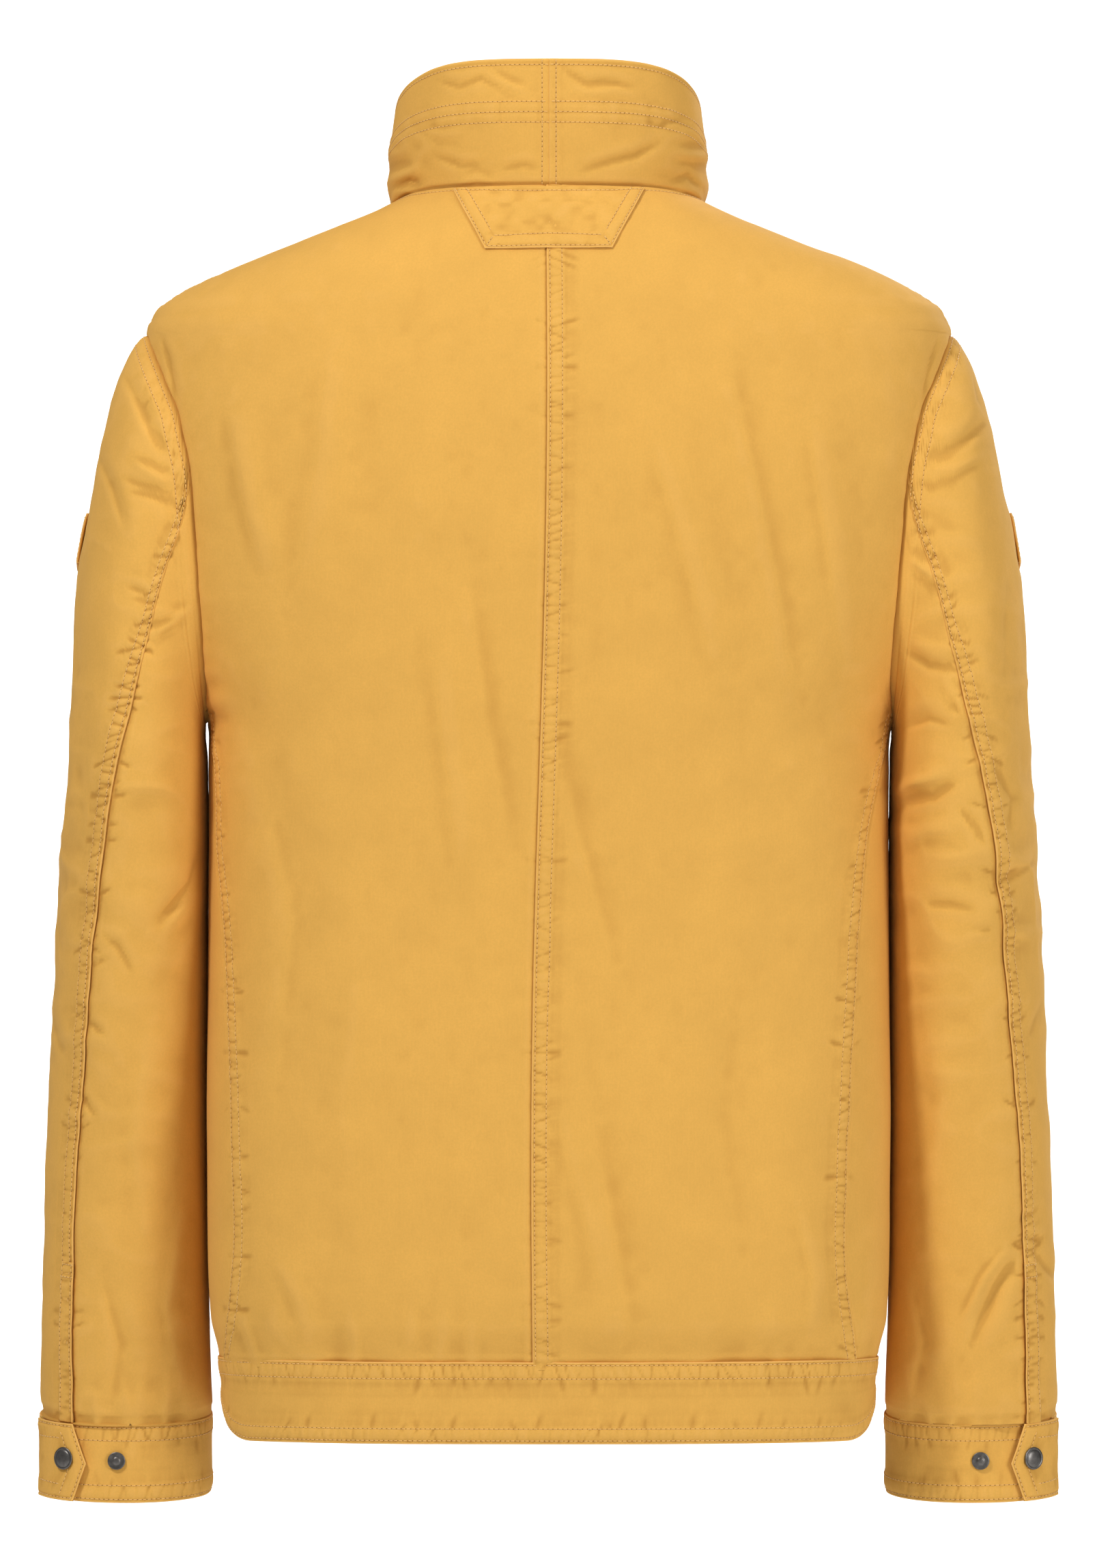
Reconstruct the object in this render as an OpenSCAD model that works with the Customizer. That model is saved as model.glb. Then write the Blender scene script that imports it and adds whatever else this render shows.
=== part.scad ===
// Cotton jacket with a stand collar, a zip front and set-in sleeves, in the shape it has when worn.
// Origin: the hook point under the hanger loop, inside the back neck.
// +Z is up, the front faces -Y, and the wearer's left is +X.  Millimetres.

/* [Body] */
// Drop from the hook point to the hem
body_drop = 693; // [670:1:710]
// Half of the chest width under the arms
chest_half = 191; // [186:1:194]
// Half of the shoulder width
shoulder_half = 226; // [222:1:230]
// Height of the hem band
band_height = 46; // [38:1:56]

/* [Collar] */
// Height of the collar's top edge at the back
collar_back = 79; // [70:1:90]
// Height of the collar's top edge at the front
collar_front = 25; // [20:1:30]

/* [Sleeves] */
// Drop from the hook point to the bottom of the cuffs
sleeve_drop = 725; // [710:1:740]
// Height of a cuff
cuff_height = 44; // [36:1:52]

/* [Cloth] */
// Thickness of a sewn shell layer
cloth = 1.2; // [0.9:0.1:1.5]
// Thickness of a pocket bag
bag_cloth = 0.6; // [0.4:0.1:0.8]

/* [Zip] */
// Lean of the zip line from the vertical, in degrees
zip_lean = 6; // [5:0.5:7]
// Length of the slider
slider_length = 11; // [9:1:13]
// Length of the pull tab
pull_length = 32; // [24:1:40]

/* [Snaps] */
// Diameter of a snap cap
cap_d = 12.8; // [12:0.1:14]
// Diameter of a stud's base
stud_d = 10; // [9:0.1:11]

/* [Pockets] */
// Top of the pocket mouth
pocket_top = -462; // [-480:1:-450]
// Length of the pocket mouth
pocket_mouth = 150; // [120:5:165]

/* [Hidden] */

SHELL = "goldenrod";
INSIDE = "burlywood";
METAL = "dimgray";
HIDE = "khaki";

SEAM_GAP = 0.4;        // between two panels along a seam
FACING_DEPTH = 2;      // from the outside of the shell to the neck facing
Y_SIDE = -72;          // the shoulder ridge and the widest line of the body
Z_ARM_LOW = -290;      // lowest point of the armhole
Z_ARM_TOP = -73;       // highest point of the armhole
BAND_TOP = -body_drop + band_height;
CUFF_TOP = -sleeve_drop + cuff_height;
EDGE_X = 6.5;          // folded front edge beside the zip
FACING_X = 18;         // where the collar's inner layer starts beside the zip
CUFF_FALL = 0.13;      // the cuff's ends slope down towards the back by this much per millimetre
ZIP_TOP = [0, -146, collar_front];

// ---- Smooth curves through stations: each row is [position, value, value, ...] ----
function row_before(t, p, i = 0) = (i >= len(p) - 2 || t < p[i + 1][0]) ? i : row_before(t, p, i + 1);
function slope_at(p, i, k) = let(a = max(i - 1, 0), b = min(i + 1, len(p) - 1))
    (p[b][k] - p[a][k]) / (p[b][0] - p[a][0]);
function curve(t, p, k = 1) = let(
    i = row_before(t, p),
    h = p[i + 1][0] - p[i][0],
    s = min(max((t - p[i][0]) / h, 0), 1))
    p[i][k] * (2 * s ^ 3 - 3 * s ^ 2 + 1) + p[i + 1][k] * (3 * s ^ 2 - 2 * s ^ 3)
    + h * slope_at(p, i, k) * (s ^ 3 - 2 * s ^ 2 + s) + h * slope_at(p, i + 1, k) * (s ^ 3 - s ^ 2);
function ease(t) = let(s = min(max(t, 0), 1)) s * s * (3 - 2 * s);
function mix(a, b, t) = a + (b - a) * t;
function signed_power(v, e) = sign(v) * abs(v) ^ e;
function steps(a, b, n) = [for (i = [0:n]) mix(a, b, i / n)];

// ---- Body surface: rings round the body, angle 90 at the centre back and -90 at the zip ----
// height at the side, half width, back depth, squareness, tilt, bow
BODY = [
    [-body_drop, chest_half - 9, 24, 2.6, 0, 0],
    [BAND_TOP, chest_half - 6, 27, 2.6, 0, 0],
    [BAND_TOP + 22, chest_half - 1, 34, 2.6, 0, 0],
    [-560, chest_half + 1, 38, 2.6, 0, 0],
    [-400, chest_half, 38, 2.5, 0, 0],
    [-320, chest_half, 42, 2.45, 0, 0],
    [Z_ARM_LOW, chest_half + 1.5, 44, 2.4, 0, 0],
    [-255, chest_half + 14, 45, 2.4, 0, 0],
    [-220, chest_half + 26, 46, 2.4, 0, 0],
    [-185, shoulder_half - 5, 47, 2.4, 0, 0],
    [-145, shoulder_half - 1, 46, 2.4, 0.6, -0.3],
    [-110, shoulder_half + 1, 43.1, 2.37, 1.6, -1.1],
    [-90, shoulder_half + 0.8, 40, 2.345, 3.5, -2],
    [Z_ARM_TOP, shoulder_half, 36.4, 2.315, 6, -3.1],
    [-66, shoulder_half - 2.5, 34.6, 2.3, 7.3, -3.65],
    [-57, shoulder_half - 9, 32, 2.28, 9.3, -4.5],
    [-41, 188.5, 26.3, 2.235, 13.9, -6.6],
    [-26, 146, 19.6, 2.175, 19.1, -9.4],
    [-13, 107, 12.7, 2.11, 24.7, -12.2],
    [-5.5, 88, 8, 2.05, 28, -14]];
Z_NECK = -5.5;
function zip_y(z) = ZIP_TOP[1] - (ZIP_TOP[2] - z) * tan(zip_lean);
function ring_point(z, half, back, squareness, tilt, bow, angle) = let(
    c = cos(angle), s = sin(angle), e = 2 / squareness,
    front = Y_SIDE - zip_y(z - tilt + bow),
    depth = s > 0 ? back - Y_SIDE : front)
    [half * signed_power(c, e), Y_SIDE + depth * signed_power(s, e), z + tilt * s + bow * s * s];
function body_at(z, angle) = ring_point(z, curve(z, BODY, 1), curve(z, BODY, 2), curve(z, BODY, 3),
    curve(z, BODY, 4), curve(z, BODY, 5), angle);
// The angle, from the side, at which a ring reaches half width x
function angle_of_x(z, x) = acos(min(x / curve(z, BODY, 1), 1) ^ (curve(z, BODY, 3) / 2));

// Armhole: the body's rings are cut where they pass this half width
ARMHOLE = [[Z_ARM_LOW, chest_half + 1.5], [-255, chest_half + 2.5], [-220, chest_half + 5],
    [-185, chest_half + 7.5], [-145, chest_half + 11], [-118, shoulder_half - 20.5], [-94, shoulder_half - 13.5],
    [Z_ARM_TOP, shoulder_half]];
function arm_angle(z) = (z <= Z_ARM_LOW || z >= Z_ARM_TOP) ? 0 : angle_of_x(z, curve(z, ARMHOLE));

// Back seam of the side panel and its front seam, as half widths
BACK_SEAM = [[-body_drop, 176], [BAND_TOP, 175], [-588, 168], [-544, 168.5], [-418, 175], [-360, 180],
    [-320, 184.5], [-284, 187.6]];
FRONT_SEAM = [[-body_drop, 128], [-600, 128], [-450, 130], [-360, 140], [-290, 162], [-250, 184]];
Z_BACK_JOIN = -284;
Z_FRONT_JOIN = -250;
function back_seam_angle(z) = z < Z_BACK_JOIN
    ? mix(angle_of_x(z, curve(z, BACK_SEAM)), arm_angle(Z_BACK_JOIN), ease((z + 320) / (320 + Z_BACK_JOIN)))
    : arm_angle(z);
function front_seam_angle(z) = z < Z_FRONT_JOIN
    ? mix(angle_of_x(z, curve(z, FRONT_SEAM)), arm_angle(Z_FRONT_JOIN), ease((z + 300) / (300 + Z_FRONT_JOIN)))
    : arm_angle(z);

// ---- Solids made from a grid of points: a sheet lies between two depths under the grid ----
function grid_normal(g, i, j) = let(
    a = g[min(i + 1, len(g) - 1)][j] - g[max(i - 1, 0)][j],
    b = g[i][min(j + 1, len(g[0]) - 1)] - g[i][max(j - 1, 0)],
    n = cross(b, a)) n / norm(n);
function offset_grid(g, d) = [for (i = [0:len(g) - 1]) for (j = [0:len(g[0]) - 1])
    g[i][j] + d * grid_normal(g, i, j)];
module sheet(g, d0, d1) {
    rows = len(g);
    cols = len(g[0]);
    count = rows * cols;
    function at(i, j) = i * cols + j;
    skin = [for (i = [0:rows - 2]) for (j = [0:cols - 2])
        each [[at(i, j), at(i, j + 1), at(i + 1, j + 1)], [at(i, j), at(i + 1, j + 1), at(i + 1, j)]]];
    rim = [each [for (j = [0:cols - 1]) at(0, j)], each [for (i = [1:rows - 1]) at(i, cols - 1)],
        each [for (j = [cols - 2:-1:0]) at(rows - 1, j)], each [for (i = [rows - 2:-1:1]) at(i, 0)]];
    edges = [for (k = [0:len(rim) - 1]) let(a = rim[k], b = rim[(k + 1) % len(rim)])
        each [[b, a, a + count], [b, a + count, b + count]]];
    polyhedron(
        points = concat(offset_grid(g, min(d0, d1)), offset_grid(g, max(d0, d1))),
        faces = concat(skin, [for (f = skin) [f[2], f[1], f[0]] + [count, count, count]], edges));
}
module on_side(side) {
    if (side > 0) children();
    else mirror([1, 0, 0]) children();
}

// ---- Body panels, drawn for the wearer's left and mirrored ----
PANEL_ROWS = [each steps(BAND_TOP + SEAM_GAP, -320, 7), -300, each steps(Z_ARM_LOW + 3, Z_ARM_TOP - 3, 8),
    -72, -66, -57, -49, -41, -33, -26, -19, -13, Z_NECK];
// Turns the angle back by a small distance along the ring, to leave a seam gap
function inset(z, mm) = mm / curve(z, BODY, 1) * 57.3;
function back_grid(low_x, columns) = [for (z = PANEL_ROWS) let(
    first = 90 - inset(z, low_x), last = back_seam_angle(z) + inset(z, SEAM_GAP))
    [for (angle = steps(first, last, columns)) body_at(z, angle)]];
function front_grid(low_x, columns, edge) = [for (z = PANEL_ROWS) let(
    first = -angle_of_x(z, low_x), last = -front_seam_angle(z) - inset(z, edge + mouth_gap(z)))
    [for (angle = steps(first, last, columns)) body_at(z, angle)]];
// The pocket mouth is a gap in the front seam
MOUTH_WIDTH = 12;
WELT_EDGE = 9.5;       // from the front seam to the welt
function mouth_gap(z) = MOUTH_WIDTH * ease((z - pocket_top + pocket_mouth + 8) / 16)
    * ease((pocket_top + 8 - z) / 16);
module back_panel(side) color(SHELL) on_side(side) sheet(back_grid(0.3, 9), 0, cloth);
module front_panel(side) color(SHELL) on_side(side) sheet(front_grid(EDGE_X, 8, SEAM_GAP), 0, -cloth);

// The side panel's top edge is the bottom of the armhole, from the back join to the front join
function arm_low(u) = let(z = u < 0.5
    ? mix(Z_BACK_JOIN, Z_ARM_LOW, 1 - (1 - 2 * u) ^ 2)
    : mix(Z_ARM_LOW, Z_FRONT_JOIN, (2 * u - 1) ^ 2)) [z, (u < 0.5 ? 1 : -1) * arm_angle(z)];
function side_angle(z, u, s) = let(
    top = arm_low(u),
    plain = mix(back_seam_angle(z), -front_seam_angle(z), u),
    plain_top = mix(back_seam_angle(top[0]), -front_seam_angle(top[0]), u))
    plain + s ^ 3 * (top[1] - plain_top);
function side_grid(columns) = [for (s = steps(0, 1, 12))
    [for (u = steps(0.006, 0.994, columns)) let(z = mix(BAND_TOP + SEAM_GAP, arm_low(u)[0] - 2, s))
        body_at(z, side_angle(z, u, s))]];
module side_panel(side) color(SHELL) on_side(side) sheet(side_grid(12), 0, cloth);

// The facing is a half moon inside the back neck
function neck_facing_grid() = [for (u = steps(0, 1, 14)) let(angle = mix(20, 160, u))
    [for (v = steps(0, 1, 6)) body_at(mix(Z_NECK - 1, Z_NECK - 3 - 84 * sin(180 * u) ^ 0.8, v), angle)]];
module neck_facing() color(INSIDE) sheet(neck_facing_grid(), -FACING_DEPTH, -FACING_DEPTH - bag_cloth);

// ---- Hem band: one strip from the zip round the back to the zip ----
BAND_THICK = 2.2;
function strip_angles(z, x, n) = let(edge = angle_of_x(z, x)) steps(-edge, 180 + edge, n);
HEM_RISE = 19;         // the lower edge is rounded up by this much where the band turns to the front
function hem_lift(z, angle) = HEM_RISE * ease((BAND_TOP - 4 - z) / (band_height - 4))
    * (1 - sin(90 * min(abs(sin(angle)) / 0.45, 1)));
module hem_band() color(SHELL)
    sheet([for (z = steps(-body_drop, BAND_TOP, 4)) [for (angle = strip_angles(z, EDGE_X, 60))
        body_at(z + hem_lift(z, angle), angle)]], -0.4, -BAND_THICK);

// ---- Collar: rises from the neck ring; its outer cloth is in two halves ----
COLLAR_HALF = [[0, 88], [0.5, 89.5], [1, 86]];
COLLAR_BACK_Y = [[0, 8], [0.5, 9.5], [1, 7]];
COLLAR_SIDE = 55;      // height of the top edge at the sides
COLLAR_INNER_DEPTH = 1.7;
function collar_rim(s) = let(lift = (collar_back - collar_front) / 2, sag = (collar_back + collar_front) / 2
    - COLLAR_SIDE) COLLAR_SIDE + lift * s + sag * s * s;
function collar_at(w, angle) = let(
    s = sin(angle), neck = body_at(Z_NECK, angle)[2] + 1,
    z = mix(neck, collar_rim(s), w), e = 2 / 2.05,
    front = Y_SIDE - zip_y(z), depth = s > 0 ? curve(w, COLLAR_BACK_Y) - Y_SIDE : front)
    [curve(w, COLLAR_HALF) * signed_power(cos(angle), e), Y_SIDE + depth * signed_power(s, e), z];
function collar_edge(x) = acos((x / 88) ^ 1.025);
module collar_outer(side) color(SHELL) on_side(side)
    sheet([for (w = steps(0, 1, 5)) [for (angle = steps(-collar_edge(EDGE_X), 89.8, 22)) collar_at(w, angle)]],
        0, -cloth);
module collar_inner() color(SHELL)
    sheet([for (w = steps(0.02, 0.985, 4)) [for (angle = steps(-collar_edge(FACING_X),
        180 + collar_edge(FACING_X), 40)) collar_at(w, angle)]], -COLLAR_INNER_DEPTH, -COLLAR_INNER_DEPTH - cloth);

// ---- Neck tab: a trapezium sewn on the back under the collar ----
TAB_DROP = 36;
function back_ring_for(drop) = curve(drop, [[0, Z_NECK - 0.5], [12, -16.2], [24, -25.5], [36, -35.7]]);
module neck_tab() color(SHELL)
    sheet([for (drop = steps(1, TAB_DROP, 5)) let(z = back_ring_for(drop), half = mix(54, 35.5, drop / TAB_DROP))
        [for (x = steps(-half, half, 10)) body_at(z, x < 0 ? 180 - angle_of_x(z, -x) : angle_of_x(z, x))]],
        0.3, 0.3 + cloth);

// ---- Hanger loop: an arch of tape over the hook point, sewn on the neck facing ----
LOOP_RADIUS = 28;
LOOP_WIDTH = 5;
LOOP_THICK = 1.4;
LOOP_LEAN = 38;
module hanger_loop() color(INSIDE) rotate([LOOP_LEAN, 0, 0]) translate([0, LOOP_WIDTH / 2, -LOOP_RADIUS])
    rotate([90, 0, 0]) linear_extrude(LOOP_WIDTH) intersection() {
        difference() {
            circle(LOOP_RADIUS + LOOP_THICK, $fn = 96);
            circle(LOOP_RADIUS, $fn = 96);
        }
        translate([-40, 0]) square([80, 40]);
    }

// ---- Pockets: a bag behind the front seam, with its mouth in the seam ----
BAG_REACH = 92;        // how far the bag reaches from the mouth towards the zip
BAG_ROOM = 14;         // room between the shell and the bag in its middle
BAG_LOW = -628;
BAG_HIGH = pocket_top + 14;
BAG_DEPTH = cloth + 0.5;
function bag_x(z, u) = mix(curve(z, FRONT_SEAM) + 12, curve(z, FRONT_SEAM) - BAG_REACH, u);
function bag_grid() = [for (v = steps(0, 1, 8)) let(z = mix(BAG_LOW, BAG_HIGH, v))
    [for (u = steps(0, 1, 10)) body_at(z, -angle_of_x(z, bag_x(z, u)))
        + [0, BAG_ROOM * (max(sin(180 * u) * sin(180 * v), 0)) ^ 0.4, 0]]];
module pocket_bag(side) color(INSIDE) on_side(side)
    sheet(bag_grid(), BAG_DEPTH, BAG_DEPTH + bag_cloth);
WELT_WIDTH = 22;
module pocket_welt(side) color(SHELL) on_side(side)
    sheet([for (z = steps(pocket_top - pocket_mouth - 6, pocket_top + 6, 6))
        [for (x = steps(WELT_EDGE, WELT_EDGE + WELT_WIDTH, 3)) body_at(z, -angle_of_x(z, curve(z, FRONT_SEAM) - x))]],
        -0.3, -0.3 - cloth);

// ---- Front zip, in a frame whose Z runs up the zip line and whose -Y is the outside ----
ZIP_LENGTH = (collar_front + body_drop - 6) / cos(zip_lean);
TEETH_IN = 0.6;        // from the middle to the teeth, which leaves room for the slider's web
TEETH_OUT = 3;
ZIP_IN = 1.1;          // the zip lies this far behind the front's surface
module on_zip(drop = 0) translate(ZIP_TOP) rotate([-zip_lean, 0, 0]) translate([0, ZIP_IN, -drop]) children();
module bar(x0, x1, y0, y1, z0, z1) translate([x0, y0, z0]) cube([x1 - x0, y1 - y0, z1 - z0]);
module zip_tape(side) color(HIDE) on_side(side) on_zip() bar(3.6, 16, 1.6, 2.3, -ZIP_LENGTH, -4);
module zip_teeth(side) color(METAL) on_side(side) on_zip() bar(TEETH_IN, TEETH_OUT, 0.1, 2.15, -ZIP_LENGTH + 12, -9);
module zip_top_stops() color(METAL) for (side = [1, -1]) on_side(side) on_zip() bar(TEETH_IN, 3.5, 0, 2.2, -8.6, -5);
module zip_box() color(METAL) on_zip() bar(-3.5, 3.5, -0.4, 2.6, -ZIP_LENGTH, -ZIP_LENGTH + 11);

SLIDER_DROP = 9.5;     // from the zip's top to the slider's top
SLIDER_HALF = 4.6;
PIN_Y = -4.0;
PIN_R = 0.8;
module zip_slider() color(METAL) on_zip(SLIDER_DROP) {
    middle = -slider_length / 2;
    difference() {
        bar(-SLIDER_HALF, SLIDER_HALF, -1.9, 4, -slider_length, 0);
        for (side = [0, 1]) mirror([side, 0, 0]) {
            bar(0.45, 3.3, -0.5, 2.7, -slider_length - 1, 1);
            bar(3.2, SLIDER_HALF + 1, 1.1, 2.5, -slider_length - 1, 1);
        }
    }
    for (side = [0, 1]) mirror([side, 0, 0]) bar(1.8, 3, -5.4, -1.8, middle - 1.7, middle + 1.7);
    translate([-2.4, PIN_Y, middle]) rotate([0, 90, 0]) cylinder(r = PIN_R, h = 4.8, $fn = 48);
}
PULL_EYE = 1.3;
module zip_pull() color(METAL) on_zip(SLIDER_DROP + slider_length / 2) translate([0, PIN_Y, 0]) {
    difference() {
        union() {
            translate([-1.5, 0, 0]) rotate([0, 90, 0]) cylinder(r = 1.9, h = 3, $fn = 48);
            bar(-1.5, 1.5, -0.7, 0.7, -5.2, -1);
        }
        translate([-2, 0, 0]) rotate([0, 90, 0]) cylinder(r = PIN_R + 0.08, h = 4, $fn = 48);
    }
    difference() {
        translate([0, 0.7, 0]) rotate([90, 0, 0]) linear_extrude(1.4) hull() {
            translate([0, -7.5]) circle(3, $fn = 32);
            translate([0, -pull_length + 4]) circle(4, $fn = 32);
        }
        translate([0, 1, -pull_length + 4.5]) rotate([90, 0, 0]) cylinder(r = PULL_EYE, h = 2, $fn = 32);
    }
}

// ---- Sleeve surface: rings that fan out from the armhole and then run down the arm ----
// station, inner x and z, outer x and z, middle y, half depth, fall.  Angle 0 is outside, 90 the back, 180 inside.
INNER_X = 192.2;
SLEEVE = [
    [0, INNER_X + 1.9, -290, shoulder_half + 14, -82, -70, 64, 0],
    [1, INNER_X + 1.6, -296, shoulder_half + 20.5, -107, -72, 68, 0],
    [2, INNER_X + 1, -301, shoulder_half + 29.5, -158, -75, 72, 0],
    [3, INNER_X + 0.5, -306, shoulder_half + 39, -209, -77, 75, 0],
    [4, INNER_X + 0.2, -312, shoulder_half + 42, -260, -79, 77, 0],
    [5, INNER_X, -330, 270.5, -318, -81, 77, 0],
    [6, INNER_X, -380, 275, -378, -85, 73, 0.02],
    [7, INNER_X, -455, 279.5, -455, -92, 66, 0.06],
    [8, INNER_X + 0.4, -540, 284, -540, -100, 56, 0.1],
    [9, INNER_X, -620, 286.5, -620, -108, 48, CUFF_FALL],
    [10, INNER_X - 1.7, CUFF_TOP, 287.1, CUFF_TOP, -115.5, 42.5, CUFF_FALL]];
SLEEVE_SQUARENESS = 2.2;
ARM_MIDDLE = (Z_ARM_LOW + Z_ARM_TOP) / 2;
ARM_HALF = (Z_ARM_TOP - Z_ARM_LOW) / 2;
function arm_loop(angle) = let(z = ARM_MIDDLE + ARM_HALF * cos(angle))
    body_at(z, sin(angle) > 0 ? arm_angle(z) : -arm_angle(z));
function sleeve_ring(t, angle) = let(
    inner = [curve(t, SLEEVE, 1), curve(t, SLEEVE, 5), curve(t, SLEEVE, 2)],
    outer = [curve(t, SLEEVE, 3), curve(t, SLEEVE, 5), curve(t, SLEEVE, 4)],
    e = 2 / SLEEVE_SQUARENESS)
    (inner + outer) / 2 + (outer - inner) / 2 * signed_power(cos(angle), e)
    + [0, 1, -curve(t, SLEEVE, 7)] * curve(t, SLEEVE, 6) * signed_power(sin(angle), e);
function sleeve_at(t, angle) = mix(arm_loop(angle), sleeve_ring(t, angle), 1 - (1 - min(t / 2, 1)) ^ 2);
SLEEVE_SEAM = [[0, 68], [0.1, 81], [0.4, 89], [1, 93.5], [2, 94], [3, 91.5], [4, 86.5], [5, 76], [6, 67.5],
    [7, 61.5], [8, 56], [10, 54]];
UNDER_SEAM = 250;
SLEEVE_START = 0.3;
SLEEVE_STATIONS = [each steps(SLEEVE_START, 5, 12), each steps(5.6, 9.985, 7)];
VENT_TOP = 8.6;        // station where the sleeve vent starts
function sleeve_grid(from, to, columns) = [for (t = SLEEVE_STATIONS)
    [for (u = steps(0, 1, columns)) sleeve_at(t, mix(curve(t, SLEEVE_SEAM) + from, to, u))]];
module sleeve_upper(side) color(SHELL) on_side(side)
    sheet(sleeve_grid(-0.3, UNDER_SEAM - 359.7, 12), 0, -cloth);
module sleeve_under(side) color(SHELL) on_side(side)
    sheet(sleeve_grid(0.3, UNDER_SEAM - 0.3, 12), 0, cloth);
module sleeve_placket(side) color(SHELL) on_side(side)
    sheet([for (t = steps(VENT_TOP, 9.97, 5)) [for (a = steps(-11, 0, 2)) sleeve_at(t, curve(t, SLEEVE_SEAM) + a)]],
        -0.3, -0.3 - cloth);

// ---- Cuff: a band round the sleeve end, its pointed tab, and its snaps ----
CUFF_THICK = 2.2;
CUFF_MIDDLE = [239, -116];
CUFF_HALF = [48.5, 42];
TAB_ROOT = 18;         // angle of the fold that the tab opens about
TAB_CORNER = 57;       // angle where the tab's slanted end starts
TAB_TIP = 67;
TAB_LIFT = 1.8;        // the tab lies this far off the band, over its snaps
TAB_THICK = 1.4;
CAP_ANGLE = 50;
FREE_STUD_ANGLE = 86;
Z_CUFF = -sleeve_drop + 0.54 * cuff_height;
function cuff_at(z, angle) = let(e = 2 / SLEEVE_SQUARENESS)
    [CUFF_MIDDLE[0] + CUFF_HALF[0] * signed_power(cos(angle), e),
        CUFF_MIDDLE[1] + CUFF_HALF[1] * signed_power(sin(angle), e),
        z - CUFF_FALL * CUFF_HALF[1] * signed_power(sin(angle), e)];
function cuff_tangent(angle) = let(d = cuff_at(0, angle + 0.5) - cuff_at(0, angle - 0.5)) [d[0], d[1], 0] / norm([d[0], d[1]]);
// Places children with their Z along the cuff's outward normal
module on_cuff(angle, lift) {
    d = cuff_tangent(angle);
    translate(cuff_at(Z_CUFF, angle) + lift * [d[1], -d[0], 0])
        rotate([0, 0, atan2(-d[0], d[1])]) rotate([0, 90, 0]) children();
}
module cuff(side) color(SHELL) on_side(side)
    sheet([for (z = steps(-sleeve_drop, CUFF_TOP - SEAM_GAP, 2)) [for (a = steps(TAB_ROOT - 3, TAB_ROOT + 356, 40))
        cuff_at(z, a)]], 0, -CUFF_THICK);
function tab_end(h) = h > 0.5 ? mix(TAB_TIP, TAB_CORNER, 2 * h - 1) : mix(TAB_CORNER, TAB_TIP, 2 * h);
module cuff_tab(side) color(SHELL) on_side(side) difference() {
    sheet([for (h = steps(0, 1, 6)) [for (u = steps(0, 1, 10))
        cuff_at(mix(-sleeve_drop, CUFF_TOP - SEAM_GAP, h), mix(TAB_ROOT, tab_end(h), u))]], TAB_LIFT, TAB_LIFT + TAB_THICK);
    on_cuff(CAP_ANGLE, TAB_LIFT - 1) cylinder(r = 1.6, h = 4, $fn = 32);
}
SOCKET_LIFT = 0.72;
module snap_cap() {
    rotate_extrude($fn = 64) intersection() {
        translate([0, -10.4]) circle(12.2, $fn = 96);
        square([cap_d / 2, 1.8]);
    }
    translate([0, 0, -1.5]) cylinder(r = 1.4, h = 1.6, $fn = 32);
}
module snap_socket(height) difference() {
    cylinder(d = stud_d, h = height, $fn = 64);
    translate([0, 0, -1]) cylinder(r = 2.3, h = 3, $fn = 48);
}
module snap_stud() {
    cylinder(d = stud_d, h = 0.55, $fn = 64);
    cylinder(r = 1.9, h = 1.35, $fn = 48);
}
module cuff_cap(side) color(METAL) on_side(side) on_cuff(CAP_ANGLE, TAB_LIFT + TAB_THICK + 0.05) snap_cap();
module cuff_socket(side) color(METAL) on_side(side) on_cuff(CAP_ANGLE, SOCKET_LIFT)
    snap_socket(TAB_LIFT - SOCKET_LIFT - 0.05);
module cuff_studs(side) color(METAL) on_side(side) for (a = [CAP_ANGLE, FREE_STUD_ANGLE])
    on_cuff(a, 0.05) snap_stud();

// ---- Pocket flap on the upper sleeve, hinged along its top edge ----
FLAP_TOP = 2.3;       // stations of its top edge and of its corners
FLAP_LOW = 2.85;
FLAP_POINT = 3.01;
FLAP_FROM = 0;         // angles of its back and front edges
FLAP_TO = -64;
FLAP_LIFT = 1.8;
FLAP_THICK = 1.4;
FLAP_SNAP = [2.78, -32];
function flap_low(u) = mix(FLAP_LOW, FLAP_POINT, 1 - abs(2 * u - 1));
module sleeve_flap(side) color(SHELL) on_side(side) difference() {
    sheet([for (s = steps(0, 1, 5)) [for (u = steps(0, 1, 8))
        sleeve_at(mix(FLAP_TOP, flap_low(u), s), mix(FLAP_FROM, FLAP_TO, u))]], FLAP_LIFT, FLAP_LIFT + FLAP_THICK);
    on_sleeve(FLAP_SNAP, FLAP_LIFT - 1) cylinder(r = 1.6, h = 4, $fn = 32);
}
function sleeve_normal(t, a) = let(
    n = cross(sleeve_at(t, a + 1) - sleeve_at(t, a - 1), sleeve_at(t + 0.02, a) - sleeve_at(t - 0.02, a))) -n / norm(n);
module on_sleeve(place, lift) {
    n = sleeve_normal(place[0], place[1]);
    translate(sleeve_at(place[0], place[1]) + lift * n)
        rotate([0, acos(n[2]), atan2(n[1], n[0])]) children();
}
module flap_cap(side) color(METAL) on_side(side) on_sleeve(FLAP_SNAP, FLAP_LIFT + FLAP_THICK + 0.05) snap_cap();
module flap_socket(side) color(METAL) on_side(side) on_sleeve(FLAP_SNAP, SOCKET_LIFT)
    snap_socket(FLAP_LIFT - SOCKET_LIFT - 0.05);
module flap_stud(side) color(METAL) on_side(side) on_sleeve(FLAP_SNAP, 0.05) snap_stud();

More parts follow.
